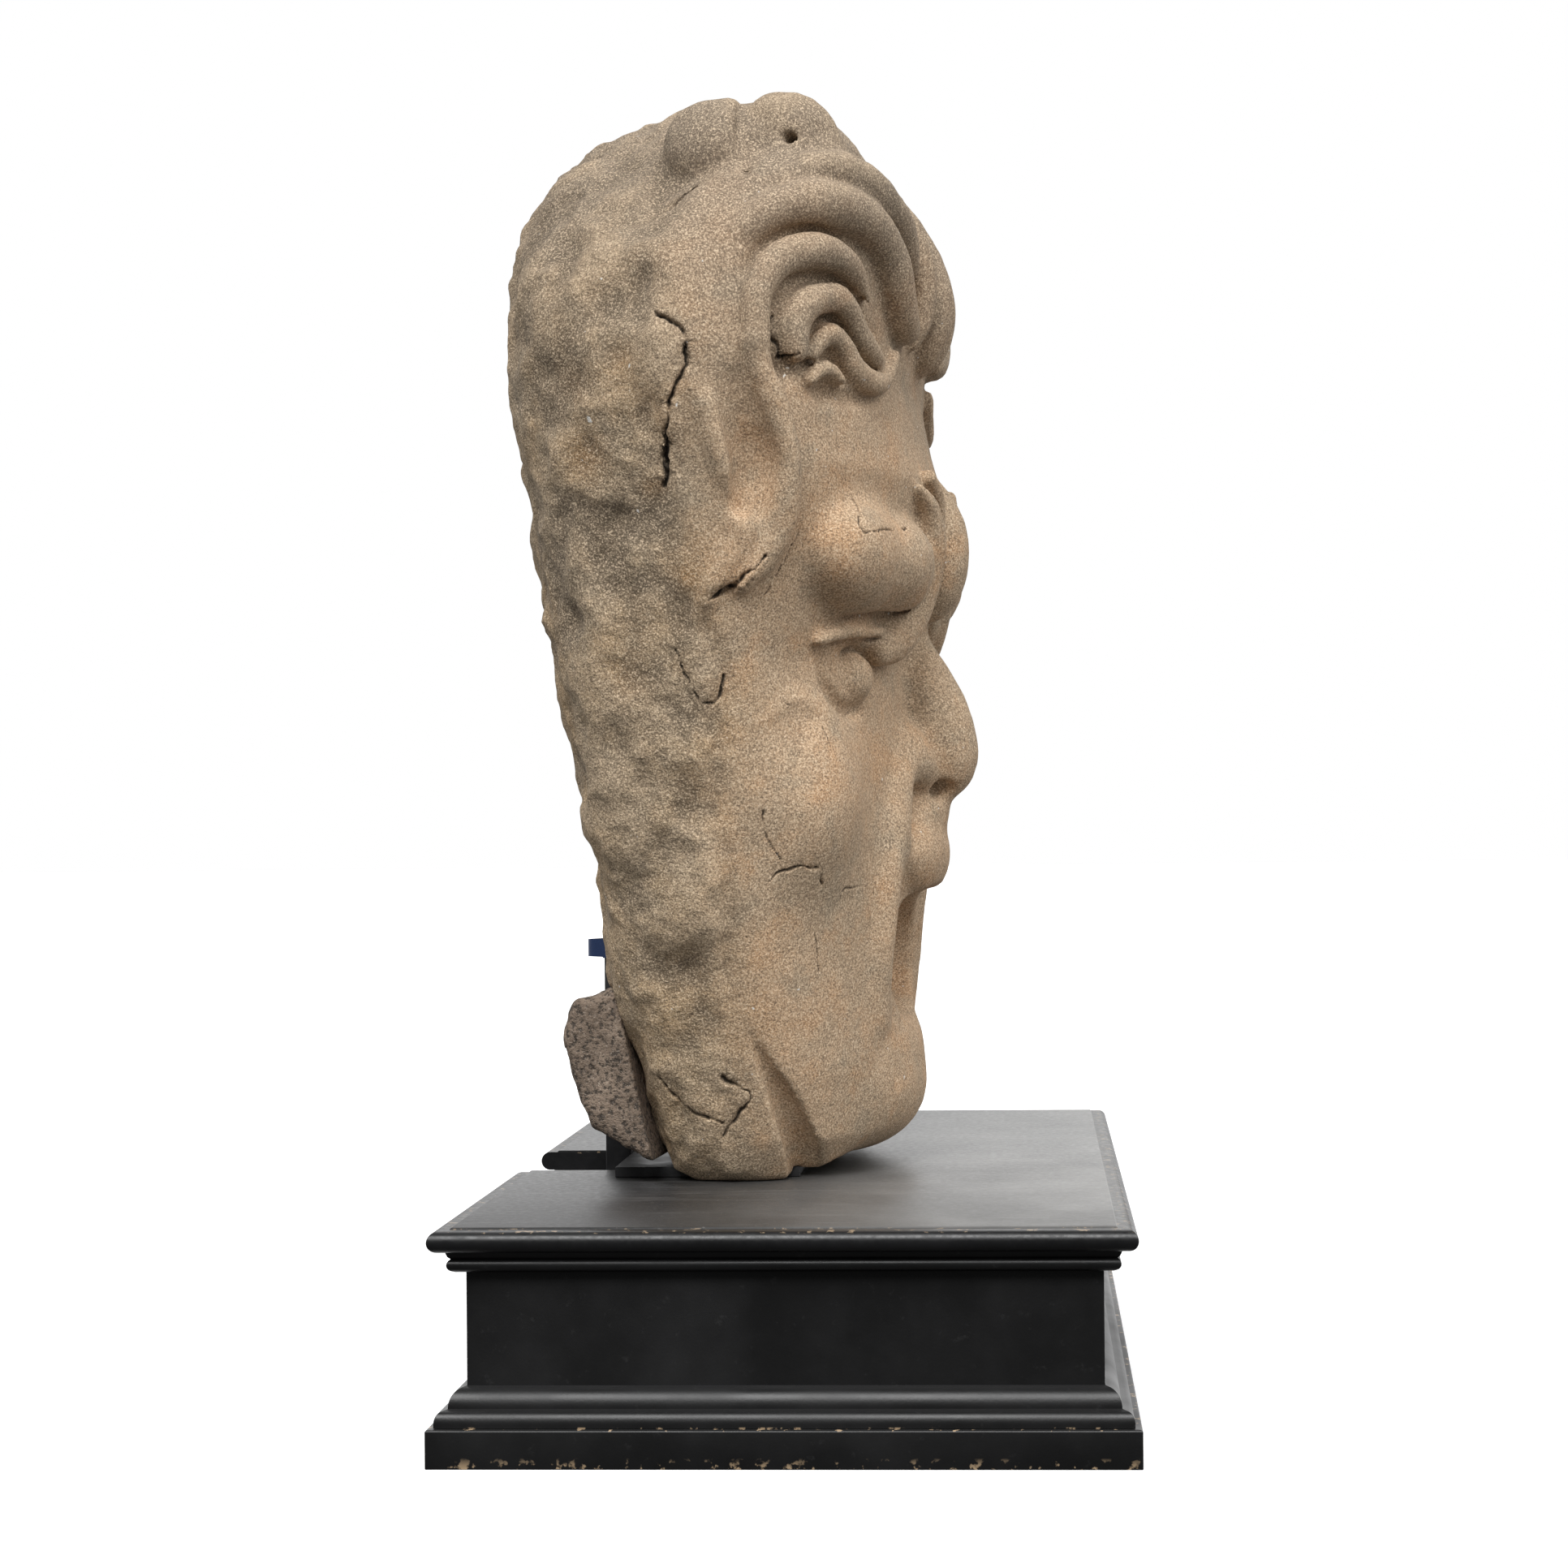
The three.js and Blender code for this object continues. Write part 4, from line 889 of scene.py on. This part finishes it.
def box_object(name, low, high, bevel=0.0):
    low, high = np.array(low, float) * MM, np.array(high, float) * MM
    bm = bmesh.new()
    bmesh.ops.create_cube(bm, size=1.0)
    for v in bm.verts:
        v.co = Vector((low + high) / 2 + np.array(v.co) * (high - low))
    if bevel:
        bmesh.ops.bevel(bm, geom=list(bm.edges), offset=bevel * MM, segments=3, profile=0.6, affect="EDGES")
    mesh = bpy.data.meshes.new(name)
    bm.to_mesh(mesh)
    bm.free()
    return linked(name, mesh)


def add_stand():
    steel = black_steel()
    for name, node, bevel in (("stand_post", "steel_post", 1.2), ("stand_plate", "foot_plate", 0.8)):
        low, high = side_of(node)
        piece = box_object(name, low, high, bevel)
        tidy_normals(piece)
        dress(piece, [node], steel)
    add_tape()


def add_tape():
    """A strap drawn round the post, with a loop of slack standing off behind."""
    low, high = side_of("steel_post")
    tape_low, tape_high = side_of("blue_tape")
    front, back, half = high[0] + TAPE_STANDOFF, low[0] - TAPE_STANDOFF, high[1] + TAPE_STANDOFF
    tail = tape_low[0] + TAPE_STANDOFF
    path = [(front, -half + 2), (front, 0), (front, half - 2), (front - 0.6, half - 0.6), (front - 2, half),
            (back + 2, half), (back + 0.4, half - 0.8), (back - 3, half - 6), (tail + 3, 14), (tail, 8),
            (tail + 0.6, 3), (tail + 5, -2), (back - 2, -10), (back, -15), (back, -half + 2),
            (back + 0.6, -half + 0.6), (back + 2, -half), (front - 2, -half), (front - 0.6, -half + 0.6)]
    line = catmull([(*path[-1], 0, 1), *[(*p, 0, 1) for p in path], (*path[0], 0, 1)], 5)[5:-1, :2]
    ahead = np.roll(line, -1, axis=0) - np.roll(line, 1, axis=0)
    outward = np.stack([ahead[:, 1], -ahead[:, 0]], 1) / np.linalg.norm(ahead, axis=1)[:, None]
    vertices = []
    droop = np.clip((back - line[:, 0]) / (back - tail), 0, 1) * 0.4
    for (x, y), (nx, ny), d in zip(line, outward, droop):
        foot, top = tape_low[2] + d, tape_high[2] - d
        for side, z in ((1, foot), (1, top), (-1, top), (-1, foot)):
            out = side * TAPE_HALF_THICKNESS
            vertices.append((x + out * nx, y + out * ny, z))
    tape = mesh_object("strap", vertices, between_rings(len(line), 4, closed=True), Matrix.Scale(MM, 4))
    tidy_normals(tape)
    dress(tape, ["blue_tape"], blue_tape())


class Look:
    """A material, or the world's light, with short ways to add what it is built from."""

    def __init__(self, name, world=False):
        self.block = (bpy.data.worlds if world else bpy.data.materials).new(name)
        self.block.use_nodes = True
        self.tree = self.block.node_tree
        self.shader = self.tree.nodes["Background" if world else "Principled BSDF"]

    def fill(self, node, values):
        """Gives each socket its number or colour, or links another node's output to it."""
        for name, value in values.items():
            socket = node.inputs[name]
            if isinstance(value, (int, float)):
                socket.default_value = value
            elif isinstance(value, tuple):
                socket.default_value = (*value, 1.0)
            elif value is not None:
                self.tree.links.new(value, socket)

    def add(self, kind, values=None, **settings):
        node = self.tree.nodes.new(kind)
        for key, value in settings.items():
            setattr(node, key, value)
        self.fill(node, values or {})
        return node

    def math(self, operation, a, b=0.0, addend=0.0):
        return self.add("ShaderNodeMath", {0: a, 1: b, 2: addend}, operation=operation).outputs[0]

    def times(self, a, b):
        return self.math("MULTIPLY", a, b)

    def coordinates(self):
        return self.add("ShaderNodeTexCoord").outputs["Object"]

    def parts(self, attribute):
        """The three channels of a colour kept at the mesh's vertices."""
        source = self.add("ShaderNodeAttribute", attribute_name=attribute)
        return self.add("ShaderNodeSeparateColor", {"Color": source.outputs["Color"]}).outputs

    def stretched(self, vector, scale):
        node = self.add("ShaderNodeMapping", {"Vector": vector})
        node.inputs["Scale"].default_value = scale
        return node.outputs["Vector"]

    def noise(self, vector, scale, detail=4.0, roughness=0.55):
        return self.add("ShaderNodeTexNoise", {"Vector": vector, "Scale": scale, "Detail": detail,
                                               "Roughness": roughness}).outputs["Fac"]

    def spread(self, value, low, high, out_low=0.0, out_high=1.0):
        return self.add("ShaderNodeMapRange", {"Value": value, "From Min": low, "From Max": high,
                                               "To Min": out_low, "To Max": out_high},
                        clamp=True).outputs["Result"]

    def mix(self, factor, first, second):
        return self.add("ShaderNodeMix", {0: factor, 6: first, 7: second}, data_type="RGBA").outputs[2]

    def tinted(self, under, tint, value, low, high, most=1.0):
        """The colour under it, tinted where the value goes from low to high."""
        return self.mix(self.spread(value, low, high, 0, most), under, tint)

    def bump(self, height, strength, distance, normal=None):
        return self.add("ShaderNodeBump", {"Height": height, "Strength": strength, "Distance": distance,
                                           "Normal": normal}).outputs["Normal"]

    def finish(self, color, roughness, normal=None):
        self.fill(self.shader, {"Base Color": color, "Roughness": roughness, "Normal": normal})
        return self.block


def sandstone():
    look = Look("sandstone")
    at = look.coordinates()
    shade_and_hewn = look.parts("shade_and_hewn")
    stain_and_height = look.parts("stain_and_height")
    patches = look.noise(at, 5.5, 6, 0.6)
    blotch = look.noise(at, 19, 6, 0.65)
    fleck = look.noise(at, 64, 5, 0.7)
    grain = look.noise(at, 540, 3, 0.8)
    sand = look.noise(at, 1200, 2, 0.7)
    face = look.mix(look.spread(patches, 0.38, 0.62), (0.44, 0.318, 0.205), (0.55, 0.365, 0.22))
    face = look.tinted(face, (0.58, 0.33, 0.165), blotch, 0.51, 0.66, 0.7)
    face = look.tinted(face, (0.33, 0.265, 0.185), blotch, 0.46, 0.34, 0.6)
    block = look.mix(look.spread(blotch, 0.40, 0.60), (0.34, 0.25, 0.155), (0.50, 0.345, 0.195))
    block = look.tinted(block, (0.29, 0.235, 0.17), patches, 0.52, 0.40, 0.6)
    block = look.tinted(block, (0.52, 0.39, 0.24), fleck, 0.56, 0.70, 0.6)
    color = look.mix(shade_and_hewn[1], face, block)
    # Darker and greyer towards the crown.
    color = look.tinted(color, (0.225, 0.18, 0.135), stain_and_height[1], 0.62, 0.90, 0.85)
    color = look.mix(look.times(stain_and_height[0], 0.65), color, (0.34, 0.16, 0.035))
    # Darker in the hollows, where stone closes round each place: painted shade, with a little fleck noise
    # in it.
    painted_hollow_shade = look.spread(look.math("MULTIPLY_ADD", fleck, 0.12, addend=shade_and_hewn[0]), 0.66, 0.86, 0, 0.65)
    color = look.mix(painted_hollow_shade, color, (0.12, 0.09, 0.06))
    # Lighter on the ridges and edges that stand out.
    color = look.tinted(color, (0.62, 0.46, 0.30), shade_and_hewn[0], 0.44, 0.30, 0.3)
    color = look.tinted(color, (0.14, 0.104, 0.07), grain, 0.49, 0.38, 0.8)
    color = look.tinted(color, (0.86, 0.68, 0.48), grain, 0.51, 0.64, 0.85)
    color = look.tinted(color, (0.13, 0.10, 0.07), sand, 0.46, 0.34, 0.6)
    color = look.mix(look.spread(look.noise(at, 120, 2, 0.4), 0.77, 0.79), color, (0.72, 0.68, 0.62))
    # Near black along the cracks: painted shade inside cracks too thin to throw their own.
    color = look.tinted(color, (0.035, 0.026, 0.018), shade_and_hewn[2], 0.15, 0.7, 0.9)
    normal = look.bump(fleck, look.math("MULTIPLY_ADD", shade_and_hewn[1], 0.6, addend=0.35), 0.006)
    normal = look.bump(grain, 0.5, 0.0013, normal)
    normal = look.bump(sand, 0.4, 0.0005, normal)
    return look.finish(color, 0.95, normal)


def repair_stone():
    look = Look("repair_stone")
    at = look.coordinates()
    blotch = look.noise(at, 30, 5, 0.6)
    pits = look.noise(at, 190, 3, 0.65)
    grain = look.noise(at, 520, 2, 0.7)
    color = look.mix(look.spread(blotch, 0.36, 0.64), (0.15, 0.11, 0.08), (0.29, 0.22, 0.165))
    color = look.tinted(color, (0.05, 0.04, 0.032), pits, 0.50, 0.40, 0.9)
    color = look.tinted(color, (0.5, 0.42, 0.35), grain, 0.58, 0.70, 0.5)
    normal = look.bump(pits, 0.9, 0.005)
    return look.finish(color, 0.93, look.bump(grain, 0.4, 0.001, normal))


def plinth_paint():
    look = Look("plinth_paint")
    at = look.coordinates()
    height = look.add("ShaderNodeSeparateXYZ", {"Vector": at}).outputs["Z"]
    cloud = look.noise(at, 9, 5)
    scuff = look.noise(at, 70, 5, 0.7)
    chip = look.noise(at, 95, 3, 0.6)
    color = look.mix(look.spread(cloud, 0.4, 0.7), (0.006, 0.006, 0.0062), (0.011, 0.011, 0.0115))
    color = look.tinted(color, (0.06, 0.06, 0.06), scuff, 0.62, 0.78, 0.3)
    foot = look.times(look.spread(height, 0.010, 0.0, 0, 1), look.spread(chip, 0.56, 0.62))
    color = look.mix(foot, color, (0.46, 0.33, 0.20))
    brim = look.times(look.spread(height, 0.0315, 0.0326), look.spread(height, 0.0345, 0.0335))
    color = look.mix(look.times(brim, look.spread(chip, 0.60, 0.64)), color, (0.40, 0.29, 0.18))
    rough = look.spread(cloud, 0.3, 0.7, 0.33, 0.5)
    normal = look.bump(look.noise(at, 420, 3), 0.12, 0.0008)
    return look.finish(color, rough, normal)


def slab_paint():
    look = Look("plinth_top_paint")
    at = look.coordinates()
    where = look.add("ShaderNodeSeparateXYZ", {"Vector": at}).outputs
    cloud = look.noise(at, 6, 6, 0.6)
    dust = look.noise(at, 160, 4, 0.7)
    streak = look.noise(look.stretched(at, (2.0, 26.0, 1.0)), 3.0, 5, 0.6)
    chip = look.noise(at, 120, 3, 0.6)
    flat = look.spread(where["Z"], 0.1975, 0.1995)
    color = look.mix(look.spread(cloud, 0.4, 0.7), (0.006, 0.006, 0.0065), (0.012, 0.012, 0.013))
    # A grey layer on the flat top, stronger towards +x: partly settled dust, partly painted reflection.
    dust_and_painted_sheen = look.times(flat, look.spread(cloud, 0.30, 0.66, 0.35, 0.75))
    dust_and_painted_sheen = look.times(dust_and_painted_sheen, look.spread(where["X"], -0.12, 0.22, 0.12, 1.0))
    color = look.mix(dust_and_painted_sheen, color, (0.30, 0.295, 0.285))
    color = look.mix(look.times(flat, look.spread(streak, 0.58, 0.74, 0, 0.16)), color, (0.4, 0.39, 0.38))
    color = look.mix(look.times(flat, look.spread(dust, 0.62, 0.74, 0, 0.3)), color, (0.45, 0.42, 0.38))
    nose = look.spread(where["Z"], 0.1962, 0.1984)
    bare = look.times(look.times(nose, look.math("SUBTRACT", 1.0, flat)), look.spread(chip, 0.60, 0.64))
    color = look.mix(bare, color, (0.42, 0.31, 0.20))
    rough = look.spread(dust, 0.3, 0.7, 0.30, 0.46)
    normal = look.bump(look.noise(at, 300, 4), 0.10, 0.0008)
    return look.finish(color, rough, normal)


def black_steel():
    look = Look("black_steel")
    at = look.coordinates()
    cloud = look.noise(at, 40, 5)
    color = look.mix(look.spread(cloud, 0.45, 0.75), (0.011, 0.011, 0.012), (0.03, 0.03, 0.032))
    return look.finish(color, look.spread(cloud, 0.3, 0.7, 0.4, 0.6), look.bump(cloud, 0.1, 0.0006))


def blue_tape():
    look = Look("tape")
    at = look.coordinates()
    weave = look.noise(at, 1400, 2)
    color = look.mix(look.spread(weave, 0.35, 0.65), (0.010, 0.026, 0.085), (0.018, 0.045, 0.135))
    return look.finish(color, 0.55, look.bump(weave, 0.3, 0.0004))


def add_stage():
    size = 30.0
    floor = mesh_object("floor", [(-size, -size, 0), (size, -size, 0), (size, size, 0), (-size, size, 0)],
                        [(0, 1, 2, 3)], Matrix.Identity(4))
    look = Look("floor")
    look.fill(look.shader, {"Emission Color": (1, 1, 1), "Emission Strength": 0.3})
    floor.data.materials.append(look.finish((0.92, 0.92, 0.92), 0.95))
    floor.visible_diffuse = False
    floor.visible_glossy = False
    look = Look("studio", world=True)
    path = look.add("ShaderNodeLightPath").outputs
    toward = look.add("ShaderNodeTexCoord").outputs["Generated"]
    toward = look.add("ShaderNodeSeparateXYZ", {"Vector": toward}).outputs
    soft = look.spread(toward["Z"], -0.2, 0.5, 0.17, 0.64)
    shine = look.spread(toward["Y"], 0.0, 0.45, 0.06, 1.25)
    glossy = path["Is Glossy Ray"]
    strength = look.math("ADD", look.times(glossy, shine),
                         look.times(look.math("SUBTRACT", 1.0, glossy), soft))
    strength = look.math("MAXIMUM", strength, path["Is Camera Ray"])
    look.fill(look.shader, {"Strength": strength, "Color": (1, 1, 1)})
    bpy.context.scene.world = look.block
    bpy.context.scene.view_settings.view_transform = "Standard"


def add_sun(name, direction, strength, softness):
    data = bpy.data.lights.new(name, "SUN")
    data.energy = strength
    data.angle = math.radians(softness)
    linked(name, data).rotation_euler = Vector(direction).to_track_quat("-Z", "Y").to_euler()


add_camera()
add_stage()
add_sun("key", (0.12, 0.88, -1.00), 2.5, 30)
add_sun("fill", (-0.95, 0.45, -0.70), 1.15, 40)

add_stone()
add_repair()
add_plinth()
add_stand()
